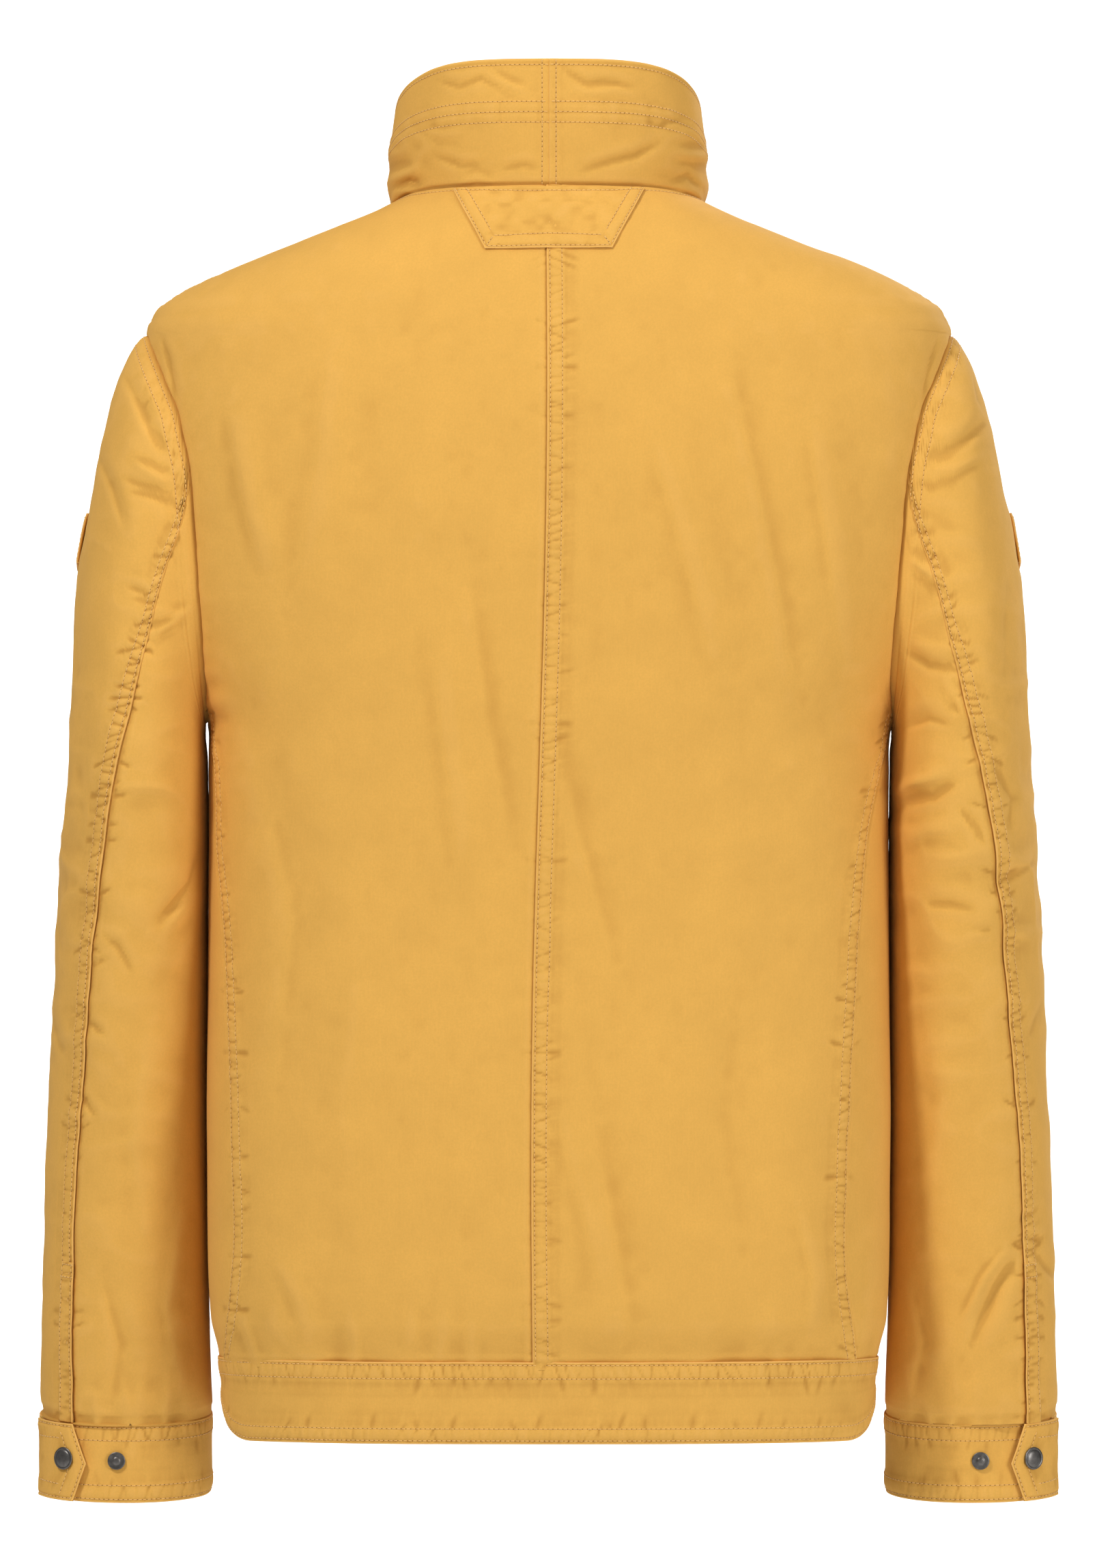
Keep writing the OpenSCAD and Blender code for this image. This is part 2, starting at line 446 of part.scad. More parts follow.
back_panel(1);  // back_panel_left
back_panel(-1);  // back_panel_right
side_panel(1);  // side_panel_left
side_panel(-1);  // side_panel_right
front_panel(1);  // front_panel_left
front_panel(-1);  // front_panel_right
neck_tab();
hanger_loop();
hem_band();
collar_outer(1);  // collar_outer_left
collar_outer(-1);  // collar_outer_right
collar_inner();
neck_facing();
pocket_welt(1);  // pocket_welt_left
pocket_welt(-1);  // pocket_welt_right
pocket_bag(1);  // pocket_bag_left
pocket_bag(-1);  // pocket_bag_right
zip_tape(1);  // zip_tape_left
zip_tape(-1);  // zip_tape_right
zip_teeth(1);  // zip_teeth_left
zip_teeth(-1);  // zip_teeth_right
zip_top_stops();
zip_box();
zip_slider();
zip_pull();
sleeve_upper(1);  // sleeve_upper_left
sleeve_upper(-1);  // sleeve_upper_right
sleeve_under(1);  // sleeve_under_left
sleeve_under(-1);  // sleeve_under_right
sleeve_placket(1);  // sleeve_placket_left
sleeve_placket(-1);  // sleeve_placket_right
cuff(1);  // cuff_left
cuff(-1);  // cuff_right
cuff_studs(1);  // cuff_studs_left
cuff_studs(-1);  // cuff_studs_right
cuff_tab(1);  // cuff_tab_left
cuff_tab(-1);  // cuff_tab_right
cuff_cap(1);  // cuff_cap_left
cuff_cap(-1);  // cuff_cap_right
cuff_socket(1);  // cuff_socket_left
cuff_socket(-1);  // cuff_socket_right
sleeve_flap(1);  // sleeve_flap_left
sleeve_flap(-1);  // sleeve_flap_right
flap_cap(1);  // flap_cap_left
flap_cap(-1);  // flap_cap_right
flap_socket(1);  // flap_socket_left
flap_socket(-1);  // flap_socket_right
flap_stud(1);  // flap_stud_left
flap_stud(-1);  // flap_stud_right
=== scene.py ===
"""Mustard cotton blouson jacket, seen from behind on an invisible form."""
import math

import bpy
import numpy as np
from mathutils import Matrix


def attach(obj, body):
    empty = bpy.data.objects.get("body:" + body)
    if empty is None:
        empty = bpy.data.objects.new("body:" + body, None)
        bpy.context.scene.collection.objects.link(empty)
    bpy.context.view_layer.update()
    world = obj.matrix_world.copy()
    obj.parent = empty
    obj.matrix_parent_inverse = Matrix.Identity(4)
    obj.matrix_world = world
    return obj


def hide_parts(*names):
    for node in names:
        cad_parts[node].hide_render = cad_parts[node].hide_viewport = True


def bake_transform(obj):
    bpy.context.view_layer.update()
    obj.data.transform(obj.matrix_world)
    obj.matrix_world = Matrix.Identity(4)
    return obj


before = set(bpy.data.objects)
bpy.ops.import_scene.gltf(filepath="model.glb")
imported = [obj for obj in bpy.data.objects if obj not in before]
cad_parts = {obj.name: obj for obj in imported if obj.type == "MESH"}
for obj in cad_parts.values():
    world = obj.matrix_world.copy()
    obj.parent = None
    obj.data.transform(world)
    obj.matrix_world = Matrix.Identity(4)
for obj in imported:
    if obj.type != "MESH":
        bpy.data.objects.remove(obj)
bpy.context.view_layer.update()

MM = 0.001
SHELL_SLOT, POCKET_SLOT, FACING_SLOT = "shell_cotton", "pocketing", "facing"
TAPE_SLOT, ZIP_SLOT, SNAP_SLOT = "zip_tape", "zip_metal", "snap_metal"

# ---- Sizes of the cloth and its seams, in millimetres ----
CLOTH = 1.0            # thickness of one visible layer
LIFT = 0.75            # how far a lapped edge stands over its neighbour
FIRST_ROW, SECOND_ROW = 1.8, 8.6   # stitch rows, from the folded edge
PITCH, STITCH, THREAD = 2.75, 1.95, 0.27
SINK = 0.1             # how deep a thread sits in the cloth
UNDER = 4.5            # how far an under layer reaches in below its neighbour
SEAM = 9.5             # width of the puckered strip along a seam
NECK_ROW = 2.6         # the stitch row below the collar, from the neck edge
DEGREES = 57.3         # in a radian

# ---- The body and sleeve surfaces, as the CAD has them; the armhole runs up to 6 mm further out ----
BODY_DROP, BAND_HEIGHT, CHEST, SHOULDER = 693, 46, 191, 226
COLLAR_BACK, COLLAR_FRONT, COLLAR_SIDE = 79, 25, 55
Y_SIDE, Z_ARM_LOW, Z_ARM_TOP, Z_NECK = -72, -290, -73, -5.5
SLEEVE_DROP, CUFF_HEIGHT, CUFF_FALL = 725, 44, 0.13
BAND_TOP = -BODY_DROP + BAND_HEIGHT
CUFF_TOP = -SLEEVE_DROP + CUFF_HEIGHT
LEAN = math.radians(6)
ZIP_TOP = np.array([0, -146, COLLAR_FRONT], float)
EDGE_X = 6.5           # the front edges' distance from the middle of the zip
ARM_MIDDLE, ARM_HALF = (Z_ARM_LOW + Z_ARM_TOP) / 2, (Z_ARM_TOP - Z_ARM_LOW) / 2

# height at the side, half width, back depth, squareness, tilt, bow
BODY = np.array([
    [-BODY_DROP, CHEST - 9, 24, 2.6, 0, 0],
    [BAND_TOP, CHEST - 6, 27, 2.6, 0, 0],
    [BAND_TOP + 22, CHEST - 1, 34, 2.6, 0, 0],
    [-560, CHEST + 1, 38, 2.6, 0, 0],
    [-400, CHEST, 38, 2.5, 0, 0],
    [-320, CHEST, 42, 2.45, 0, 0],
    [Z_ARM_LOW, CHEST + 1.5, 44, 2.4, 0, 0],
    [-255, CHEST + 14, 45, 2.4, 0, 0],
    [-220, CHEST + 26, 46, 2.4, 0, 0],
    [-185, SHOULDER - 5, 47, 2.4, 0, 0],
    [-145, SHOULDER - 1, 46, 2.4, 0.6, -0.3],
    [-110, SHOULDER + 1, 43.1, 2.37, 1.6, -1.1],
    [-90, SHOULDER + 0.8, 40, 2.345, 3.5, -2],
    [Z_ARM_TOP, SHOULDER, 36.4, 2.315, 6, -3.1],
    [-66, SHOULDER - 2.5, 34.6, 2.3, 7.3, -3.65],
    [-57, SHOULDER - 9, 32, 2.28, 9.3, -4.5],
    [-41, 188.5, 26.3, 2.235, 13.9, -6.6],
    [-26, 146, 19.6, 2.175, 19.1, -9.4],
    [-13, 107, 12.7, 2.11, 24.7, -12.2],
    [-5.5, 88, 8, 2.05, 28, -14]], float)
ARMHOLE = np.array([
    [Z_ARM_LOW, CHEST + 1.5], [-255, CHEST + 2.5], [-220, CHEST + 5], [-185, CHEST + 7.5], [-150, CHEST + 10.5],
    [-132, CHEST + 14.5], [-118, SHOULDER - 17.5], [-106, SHOULDER - 12.5], [-94, SHOULDER - 7.5],
    [-84, SHOULDER - 3.5], [Z_ARM_TOP, SHOULDER]], float)

BACK_SEAM = np.array([[-BODY_DROP, 178], [BAND_TOP, 176], [-588, 171], [-544, 171.5], [-418, 176.5],
                      [-360, 181], [-320, 185.5], [-284, 189.6]], float)
FRONT_SEAM = np.array([[-BODY_DROP, 128], [-600, 128], [-450, 130], [-360, 140], [-290, 162],
                       [-250, 184]], float)
Z_BACK_JOIN, Z_FRONT_JOIN = -284, -250
INNER_X = 192.2
# station, inner x and z, outer x and z, middle y, half depth, fall
SLEEVE = np.array([
    [0, INNER_X + 1.9, -290, SHOULDER + 14, -82, -70, 64, 0],
    [1, INNER_X + 1.6, -296, SHOULDER + 20.5, -107, -72, 68, 0],
    [2, INNER_X + 1, -301, SHOULDER + 29.5, -158, -75, 72, 0],
    [3, INNER_X + 0.5, -306, SHOULDER + 39, -209, -77, 75, 0],
    [4, INNER_X + 0.2, -312, SHOULDER + 42, -260, -79, 77, 0],
    [5, INNER_X, -330, 270.5, -318, -81, 77, 0],
    [6, INNER_X, -380, 275, -378, -85, 73, 0.02],
    [7, INNER_X, -455, 279.5, -455, -92, 66, 0.06],
    [8, INNER_X + 0.4, -540, 284, -540, -100, 56, 0.1],
    [9, INNER_X, -620, 286.5, -620, -108, 48, CUFF_FALL],
    [10, INNER_X - 1.7, CUFF_TOP, 287.1, CUFF_TOP, -115.5, 42.5, CUFF_FALL]], float)
SLEEVE_SEAM = np.array([[0, 68], [0.1, 81], [0.4, 89], [1, 93.5], [2, 94], [3, 91.5], [4, 86.5],
                        [5, 76], [6, 67.5], [7, 61.5], [8, 56], [10, 54]], float)
SLEEVE_SQUARENESS, UNDER_SEAM = 2.2, 250
COLLAR_HALF = np.array([[0, 88], [0.5, 89.5], [1, 86]], float)
COLLAR_DEPTH = np.array([[0, 8], [0.5, 9.5], [1, 7]], float)


def curve(t, table, k=1):
    """Smooth curve through a table's rows, read at t."""
    p, v = table[:, 0], table[:, k]
    n = len(p)
    lo, hi = np.maximum(np.arange(n) - 1, 0), np.minimum(np.arange(n) + 1, n - 1)
    m = (v[hi] - v[lo]) / (p[hi] - p[lo])
    t = np.asarray(t, float)
    i = np.clip(np.searchsorted(p, t, side="right") - 1, 0, n - 2)
    h = p[i + 1] - p[i]
    s = np.clip((t - p[i]) / h, 0, 1)
    return (v[i] * (2 * s**3 - 3 * s**2 + 1) + v[i + 1] * (3 * s**2 - 2 * s**3)
            + h * m[i] * (s**3 - 2 * s**2 + s) + h * m[i + 1] * (s**3 - s**2))


def ease(t):
    s = np.clip(t, 0, 1)
    return s * s * (3 - 2 * s)


def bell(s, at, width):
    return np.exp(-((s - at) / width) ** 2)


def run_along(points):
    """Distance of each point from the first, along a line of points."""
    return np.concatenate([[0], np.cumsum(np.linalg.norm(np.diff(points, axis=0), axis=1))])


def power(v, e):
    return np.sign(v) * np.abs(v) ** e


def zip_y(z):
    return ZIP_TOP[1] - (ZIP_TOP[2] - z) * math.tan(LEAN)


def body_at(z, angle):
    z, angle = np.broadcast_arrays(np.asarray(z, float), np.asarray(angle, float))
    half, back, square, tilt, bow = (curve(z, BODY, k) for k in range(1, 6))
    c, s, e = np.cos(np.radians(angle)), np.sin(np.radians(angle)), 2 / square
    depth = np.where(s > 0, back - Y_SIDE, Y_SIDE - zip_y(z - tilt + bow))
    return np.stack([half * power(c, e), Y_SIDE + depth * power(s, e), z + tilt * s + bow * s * s], -1)


def angle_of_x(z, x):
    return np.degrees(np.arccos(np.minimum(x / curve(z, BODY, 1), 1) ** (curve(z, BODY, 3) / 2)))


def arm_angle(z):
    z = np.asarray(z, float)
    return np.where((z <= Z_ARM_LOW) | (z >= Z_ARM_TOP), 0, angle_of_x(z, curve(z, ARMHOLE)))


def back_seam_angle(z, side=1):
    """The wearer's left seam sits a little further out than the right one."""
    z = np.asarray(z, float)
    low = angle_of_x(z, curve(z, BACK_SEAM) + (5 if side > 0 else -4) * ease((-300 - z) / 70))
    low = low + (arm_angle(Z_BACK_JOIN) - low) * ease((z + 320) / (320 + Z_BACK_JOIN))
    return np.where(z < Z_BACK_JOIN, low, arm_angle(z))


def front_seam_angle(z):
    z = np.asarray(z, float)
    low = angle_of_x(z, curve(z, FRONT_SEAM))
    low = low + (arm_angle(Z_FRONT_JOIN) - low) * ease((z + 300) / (300 + Z_FRONT_JOIN))
    return np.where(z < Z_FRONT_JOIN, low, arm_angle(z))


def arm_loop(angle):
    z = ARM_MIDDLE + ARM_HALF * np.cos(np.radians(angle))
    return body_at(z, np.where(np.sin(np.radians(angle)) > 0, 1, -1) * arm_angle(z))


def sleeve_at(t, angle):
    t, angle = np.broadcast_arrays(np.asarray(t, float), np.asarray(angle, float))
    c, s = np.cos(np.radians(angle)), np.sin(np.radians(angle))
    y, depth, fall = curve(t, SLEEVE, 5), curve(t, SLEEVE, 6), curve(t, SLEEVE, 7)
    inner = np.stack([curve(t, SLEEVE, 1), y, curve(t, SLEEVE, 2)], -1)
    outer = np.stack([curve(t, SLEEVE, 3), y, curve(t, SLEEVE, 4)], -1)
    e = 2 / SLEEVE_SQUARENESS
    ring = (inner + outer) / 2 + (outer - inner) / 2 * power(c, e)[..., None]
    ring = ring + np.stack([0 * t, np.ones_like(t), -fall], -1) * (depth * power(s, e))[..., None]
    k = (1 - (1 - np.clip(t / 2, 0, 1)) ** 2)[..., None]
    return arm_loop(angle) * (1 - k) + ring * k


def collar_at(w, angle):
    w, angle = np.broadcast_arrays(np.asarray(w, float), np.asarray(angle, float))
    s, c = np.sin(np.radians(angle)), np.cos(np.radians(angle))
    neck = body_at(Z_NECK, angle)[..., 2] + 1
    half = (COLLAR_BACK - COLLAR_FRONT) / 2
    front = COLLAR_SIDE + half * s + ((COLLAR_BACK + COLLAR_FRONT) / 2 - COLLAR_SIDE) * s * s
    rim = np.where(s > 0, COLLAR_SIDE + half * s + 18 * s**2 - 21 * s**3, front)
    z = neck + (rim - neck) * w
    depth = np.where(s > 0, curve(w, COLLAR_DEPTH) - Y_SIDE, Y_SIDE - zip_y(z))
    e = 2 / 2.05
    return np.stack([curve(w, COLLAR_HALF) * power(c, e), Y_SIDE + depth * power(s, e), z], -1)


CUFF_MIDDLE, CUFF_HALF = (239, -116), (48.5, 42)


def cuff_at(z, angle):
    z, angle = np.broadcast_arrays(np.asarray(z, float), np.asarray(angle, float))
    e = 2 / SLEEVE_SQUARENESS
    c, s = power(np.cos(np.radians(angle)), e), power(np.sin(np.radians(angle)), e)
    return np.stack([CUFF_MIDDLE[0] + CUFF_HALF[0] * c, CUFF_MIDDLE[1] + CUFF_HALF[1] * s,
                     z - CUFF_FALL * CUFF_HALF[1] * s], -1)


# ---- Noise, folds and seam puckers ----
def lattice(i, seed):
    h = (i[..., 0] * 374761393 + i[..., 1] * 668265263 + i[..., 2] * 1440662683 + seed * 974634777) & 0xFFFFFFFF
    h = ((h ^ (h >> 13)) * 1274126177) & 0xFFFFFFFF
    return ((h ^ (h >> 16)) & 0xFFFF) / 32767.5 - 1


def noise(p, size, seed=0):
    """Smooth noise between -1 and 1; size is the lattice step along each axis."""
    q = np.asarray(p, float) / np.asarray(size, float)
    i = np.floor(q).astype(np.int64)
    f = q - i
    f = f * f * (3 - 2 * f)
    total = 0
    for corner in np.ndindex(2, 2, 2):
        c = np.array(corner)
        total = total + np.prod(np.where(c, f, 1 - f), -1) * lattice(i + c, seed)
    return total


def fold(x, z, points, width, height):
    """A ridge with a shallow trough on one side, along a line of points in the view's plane."""
    best, side, along = np.full(x.shape, 1e9), np.ones(x.shape), np.zeros(x.shape)
    lengths = [math.dist(a, b) for a, b in zip(points, points[1:])]
    start = 0
    for (ax, az), (bx, bz), length in zip(points, points[1:], lengths):
        dx, dz = (bx - ax) / length, (bz - az) / length
        t = np.clip((x - ax) * dx + (z - az) * dz, 0, length)
        d = np.hypot(x - ax - t * dx, z - az - t * dz)
        near = d < best
        best = np.where(near, d, best)
        side = np.where(near, np.sign((x - ax) * dz - (z - az) * dx), side)
        along = np.where(near, start + t, along)
        start += length
    taper = np.sin(np.pi * np.clip(along / start, 0.02, 0.98)) ** 0.6
    d = best * side
    sharp = np.where(d < 0, 0.5 * width, width)
    return height * taper * (bell(d, 0, sharp) - 0.4 * bell(d, 1.7 * width, 1.3 * width))


# Folds seen from behind: (x, z) points, width and height
BACK_FOLDS = [
    ([(219, -73), (214, -88), (211.5, -100), (208.5, -116)], 2.4, -1.2),
    ([(-219, -73), (-214, -88), (-211.5, -100), (-208.5, -116)], 2.4, -1.2),
    ([(176, -115), (168, -160), (155, -210)], 11, 2.2),
    ([(118, -80), (124, -150), (136, -215)], 16, 1.6),
    ([(42, -205), (30, -285), (16, -360)], 12, -1.2),
    ([(62, -240), (50, -330), (46, -380)], 13, 1.4),
    ([(-58, -125), (-78, -190), (-96, -265)], 13, 1.6),
    ([(-104, -90), (-126, -185), (-146, -290)], 12, -1.5),
    ([(-148, -120), (-160, -200), (-168, -260)], 12, 1.8),
    ([(-2, -270), (-20, -350), (-42, -430)], 12, -1.1),
    ([(164, -290), (138, -400), (150, -520)], 17, -1.8),
    ([(100, -400), (112, -500), (104, -590)], 20, 1.3),
    ([(-110, -420), (-100, -510), (-112, -600)], 18, -1.3),
    ([(-6, -500), (-22, -560), (-36, -620)], 12, 1.2),
    ([(-30, -510), (-44, -590), (-50, -635)], 13, -1.3),
    ([(-140, -560), (-150, -600), (-148, -632)], 9, 1.3),
    ([(150, -590), (138, -615), (132, -640)], 9, 1.2),
]
FRONT_FOLDS = [
    ([(150, -130), (120, -230), (96, -330)], 14, 2.2),
    ([(-146, -140), (-118, -240), (-90, -350)], 14, 2.0),
    ([(60, -120), (48, -240), (40, -400)], 16, -1.6),
    ([(-66, -110), (-50, -230), (-44, -380)], 15, 1.5),
    ([(100, -420), (80, -520), (60, -610)], 15, 1.6),
    ([(-104, -400), (-84, -500), (-70, -600)], 15, -1.6),
    ([(170, -200), (150, -260), (120, -300)], 9, -2.0),
    ([(-170, -200), (-148, -262), (-118, -300)], 9, 2.0),
]
LEFT_SLEEVE_FOLDS = [
    ([(238, -94), (230, -111), (222, -129), (213, -143)], 5, -1.8),
    ([(252, -140), (244, -160), (237, -182)], 4, -1.4),
    ([(236, -156), (224, -160), (211, -163)], 2.6, -1.6),
    ([(234, -162), (222, -165), (211, -169)], 2.6, -1.4),
    ([(231, -148), (220, -154), (210, -159)], 3, 1.3),
    ([(235, -216), (222, -220)], 2.6, -1.3),
    ([(232, -222), (220, -225)], 2.6, -1.1),
    ([(210, -169), (200, -177)], 2.6, -1.3),
    ([(216, -200), (208, -186), (200, -182)], 3, 1.2),
    ([(221, -239), (206, -233)], 2.6, -1.2),
    ([(222, -244), (208, -234), (199, -228)], 3, 1.2),
    ([(194, -356), (201, -381), (210, -393), (217, -400)], 5, -2.4),
    ([(196, -372), (206, -396), (216, -410)], 5, 1.3),
    ([(250, -409), (241, -417), (234, -430)], 3, -1.0),
    ([(255, -427), (247, -424)], 2.6, -1.0),
    ([(258, -459), (249, -466)], 2.6, -1.0),
    ([(260, -280), (262, -318), (260, -352)], 8, -1.5),
    ([(278, -385), (273, -420)], 4, -1.4),
    ([(281, -455), (273, -478)], 4, -1.3),
    ([(263, -501), (254, -513)], 2.6, -1.0),
    ([(222, -460), (230, -530), (222, -600)], 13, 1.5),
    ([(206, -560), (214, -620), (206, -672)], 8, 1.3),
    ([(250, -600), (240, -640), (244, -676)], 7, -1.2),
]
RIGHT_SLEEVE_FOLDS = [
    ([(-211, -141), (-222, -141), (-234, -134), (-248, -121)], 5, -2.0),
    ([(-211, -152), (-226, -151), (-242, -142)], 4, 1.6),
    ([(-239, -95), (-241, -110), (-247, -120)], 4, -1.3),
    ([(-201, -184), (-214, -186)], 2.6, -1.4),
    ([(-200, -200), (-211, -207), (-220, -216)], 4, 1.8),
    ([(-198, -250), (-212, -260), (-232, -263)], 4, -1.6),
    ([(-220, -267), (-231, -284), (-236, -294)], 4, 1.5),
    ([(-195, -295), (-212, -289), (-224, -292)], 5, -1.6),
    ([(-191, -346), (-199, -336), (-215, -333), (-228, -325)], 6, -3.0),
    ([(-192, -330), (-203, -326), (-220, -321)], 5, 2.2),
    ([(-196, -360), (-212, -352), (-226, -350)], 6, 1.6),
    ([(-230, -338), (-244, -362)], 4, -1.3),
    ([(-262, -185), (-258, -222), (-256, -273)], 8, -1.4),
    ([(-249, -315), (-259, -334), (-256, -355)], 4, -1.5),
    ([(-211, -393), (-226, -394), (-240, -396)], 4, -1.1),
    ([(-252, -382), (-264, -375), (-275, -369)], 4, -1.4),
    ([(-236, -408), (-248, -407)], 3, -1.0),
    ([(-280, -443), (-270, -469)], 5, -1.3),
    ([(-262, -592), (-252, -608), (-238, -640)], 5, -2.2),
    ([(-257, -588), (-245, -603), (-233, -629)], 4, 1.6),
    ([(-271, -586), (-281, -599), (-289, -608)], 4, -1.5),
    ([(-269, -582), (-280, -582)], 2.6, -1.3),
    ([(-267, -570), (-276, -565)], 2.6, -1.1),
    ([(-210, -440), (-222, -500), (-214, -580)], 13, 1.5),
    ([(-204, -600), (-212, -640), (-206, -676)], 7, -1.3),
]
SLEEVE_FOLDS = {1: LEFT_SLEEVE_FOLDS, -1: RIGHT_SLEEVE_FOLDS}


def facing(n, sign):
    """1 where the normal looks towards the back (sign 1) or the front (sign -1)."""
    return ease((sign * n[..., 1] + 0.15) / 0.5)


def body_relief(p, n):
    x, z = p[..., 0], p[..., 2]
    back = sum(fold(x, z, *f) for f in BACK_FOLDS) * facing(n, 1)
    front = sum(fold(x, z, *f) for f in FRONT_FOLDS) * facing(n, -1)
    gather = 1 - np.abs(noise(p * [1, 1, 0.35], 17, 5))
    wave = 1.5 * noise(p * [1, 1, 0.45], 62, 1) + 0.5 * noise(p, 24, 2) + 0.16 * noise(p, 9, 3)
    creases = 1.2 * bell(z, -285, 38) * ease((np.abs(x) - 150) / 40) * noise(p * [0.6, 0.6, 1.6], 16, 7)
    relief = back + front + wave + 1.7 * ease((-590 - z) / 50) * (gather - 0.7) + creases
    beside = ease((np.abs(x) - CHEST + 14) / 12) * ease((-288 - z) / 20)
    return relief * (1 - 0.8 * beside) + beside * 0.55 * ease((z + 560) / 60)


def sleeve_relief(p, n, side):
    x, z = p[..., 0], p[..., 2]
    back = sum(fold(x, z, *f) for f in SLEEVE_FOLDS[side]) * facing(n, 1)
    front = sum(fold(-x, z + 12, *f) for f in SLEEVE_FOLDS[-side]) * facing(n, -1)
    elbow = bell(z, -370, 75)
    crumple = (1 - 2 * np.abs(noise(p * [0.8, 0.8, 1.5], 30, 11))) * (0.5 + 1.1 * elbow)
    wave = 1.3 * noise(p * [1, 1, 0.6], 45, 12 + side) + 0.45 * noise(p, 18, 14) + 0.14 * noise(p, 8, 15)
    gather = 1.6 * ease((-640 - z) / 40) * (0.4 - np.abs(noise(p * [1, 1, 0.3], 13, 16)))
    free = ease((np.abs(x) - 193) / 16)
    return (back + front + wave + crumple + gather) * (0.2 + 0.8 * free) + 0.35 * (1 - free)


def chance(i, seed, k):
    """A repeatable number between -1 and 1 for each whole number."""
    i = np.asarray(i).astype(np.int64)
    return lattice(np.stack([i, 0 * i + k, 0 * i], -1), seed)


def pucker(along, across, seed, width=SEAM, strength=1.0, cell=4.6):
    """Narrow ladder creases that cross a stitched seam, some running on into the cloth."""
    total = 0
    for k in (-1, 0, 1):
        i = np.floor(along / cell) + k
        centre = (i + 0.5 + 0.33 * chance(i, seed, 1)) * cell + 0.45 * chance(i, seed, 2) * (across - width / 2)
        depth = 0.34 + 0.5 * np.abs(chance(i, seed, 3))
        running = chance(i, seed, 4)
        reach = width + 1 + np.where(running > 0.5, 20 * (running - 0.45), 0)
        half = 0.6 + 0.35 * np.abs(chance(i, seed, 5)) + 0.1 * np.maximum(across - width, 0)
        inside = ease((across - 0.6) / 1.0) * ease((reach - across) / (2 + 0.5 * (reach - width)))
        total = total - depth * inside * bell(along, centre, half)
    p = np.stack([along + 0.1 * across, 0 * along + 13.7 * seed, 0 * along], -1)
    swell = noise(p, [7.5, 1, 1], seed)
    total = total + 0.22 * swell * ease((across + 0.5) / 2) * np.exp(-np.maximum(across - width, 0) / 7)
    patch = 0.85 + 0.3 * noise(p, [48, 1, 1], seed + 90)
    return strength * patch * total


# ---- Grids: rows of points, with the distances to each edge ----
NEAR = np.array([0, 0.3, 0.7, 1.2, 1.8, 2.5, 3.6, 5.0, 6.6, 7.8, 8.6, 9.4, 10.6, 12.4, 15])
PLAIN = np.array([0, 0.8, 2.2, 4.5])


def spread(length, near, far, count):
    """Distances along a row: fixed steps beside each edge, even steps between."""
    room = near[-1] + far[-1] + 3
    k = min(1, length / room)
    near, far = near * k, far * k
    middle = near[-1] + (length - near[-1] - far[-1]) * np.arange(1, count) / count
    return np.concatenate([near, middle, (length - far)[::-1]])


def grid_of(surface, rows, ends, near, far, step=4.0, samples=240):
    """Points, row by row. surface(v, u) is the surface, ends(v) gives u's first and last value."""
    dense, lengths = [], []
    for v in rows:
        u = np.linspace(*ends(v), samples)
        p = surface(v, u)
        d = run_along(p)
        dense.append((u, d))
        lengths.append(d[-1])
    count = max(2, int(math.ceil((max(lengths) - near[-1] - far[-1]) / step)))
    p, s0, s1 = [], [], []
    for v, (u, d) in zip(rows, dense):
        s = spread(d[-1], near, far, count)
        p.append(surface(v, np.interp(s, d, u)))
        s0.append(s)
        s1.append(d[-1] - s)
    return np.array(p), np.array(s0), np.array(s1)


def unit(v):
    return v / np.maximum(np.linalg.norm(v, axis=-1, keepdims=True), 1e-9)


def normals(p):
    return unit(np.cross(np.gradient(p, axis=1), np.gradient(p, axis=0)))


def row_distance(p):
    """Distance of each row from the first, along the columns."""
    d = np.linalg.norm(np.diff(p, axis=0), axis=-1)
    return np.concatenate([np.zeros((1, p.shape[1])), np.cumsum(d, 0)])


def lap(s, second=SECOND_ROW, lift=LIFT):
    """Height of a folded, twin-stitched edge at a distance from its fold."""
    h = lift * (1 - ease((s - second - 0.6) / 2.2))
    h = h - 0.9 * lift * (1 - np.minimum(s / 0.9, 1)) ** 2
    for row in (FIRST_ROW, second):
        h = h - 0.3 * bell(s, row, 0.85)
    return h + 0.18 * np.sin(np.pi * np.clip((s - FIRST_ROW) / (second - FIRST_ROW), 0, 1))


# ---- Meshes ----
def mesh_object(name, verts, faces, tone=None, smooth=True):
    """A mesh from points in millimetres and four-sided faces; tone is a value for each point, mostly painted
    highlight and shade.
    """
    mesh = bpy.data.meshes.new(name)
    quads = np.asarray(faces)
    mesh.vertices.add(len(verts))
    mesh.vertices.foreach_set("co", (np.asarray(verts, float) * MM).ravel().astype(np.float32))
    mesh.loops.add(quads.size)
    mesh.loops.foreach_set("vertex_index", quads.ravel().astype(np.int32))
    mesh.polygons.add(len(quads))
    mesh.polygons.foreach_set("loop_start", np.arange(0, quads.size, 4, dtype=np.int32))
    mesh.polygons.foreach_set("use_smooth", np.full(len(quads), smooth))
    mesh.update(calc_edges=True)
    mesh.validate()
    if tone is not None:
        shade = mesh.attributes.new("tone", "FLOAT", "POINT")
        shade.data.foreach_set("value", np.asarray(tone, np.float32).ravel())
    obj = bpy.data.objects.new(name, mesh)
    bpy.context.scene.collection.objects.link(obj)
    return obj


def grid_faces(rows, cols, flip=False):
    i = (np.arange(rows - 1)[:, None] * cols + np.arange(cols - 1)[None, :]).ravel()
    f = np.stack([i, i + 1, i + cols + 1, i + cols], -1)
    return f[:, ::-1] if flip else f


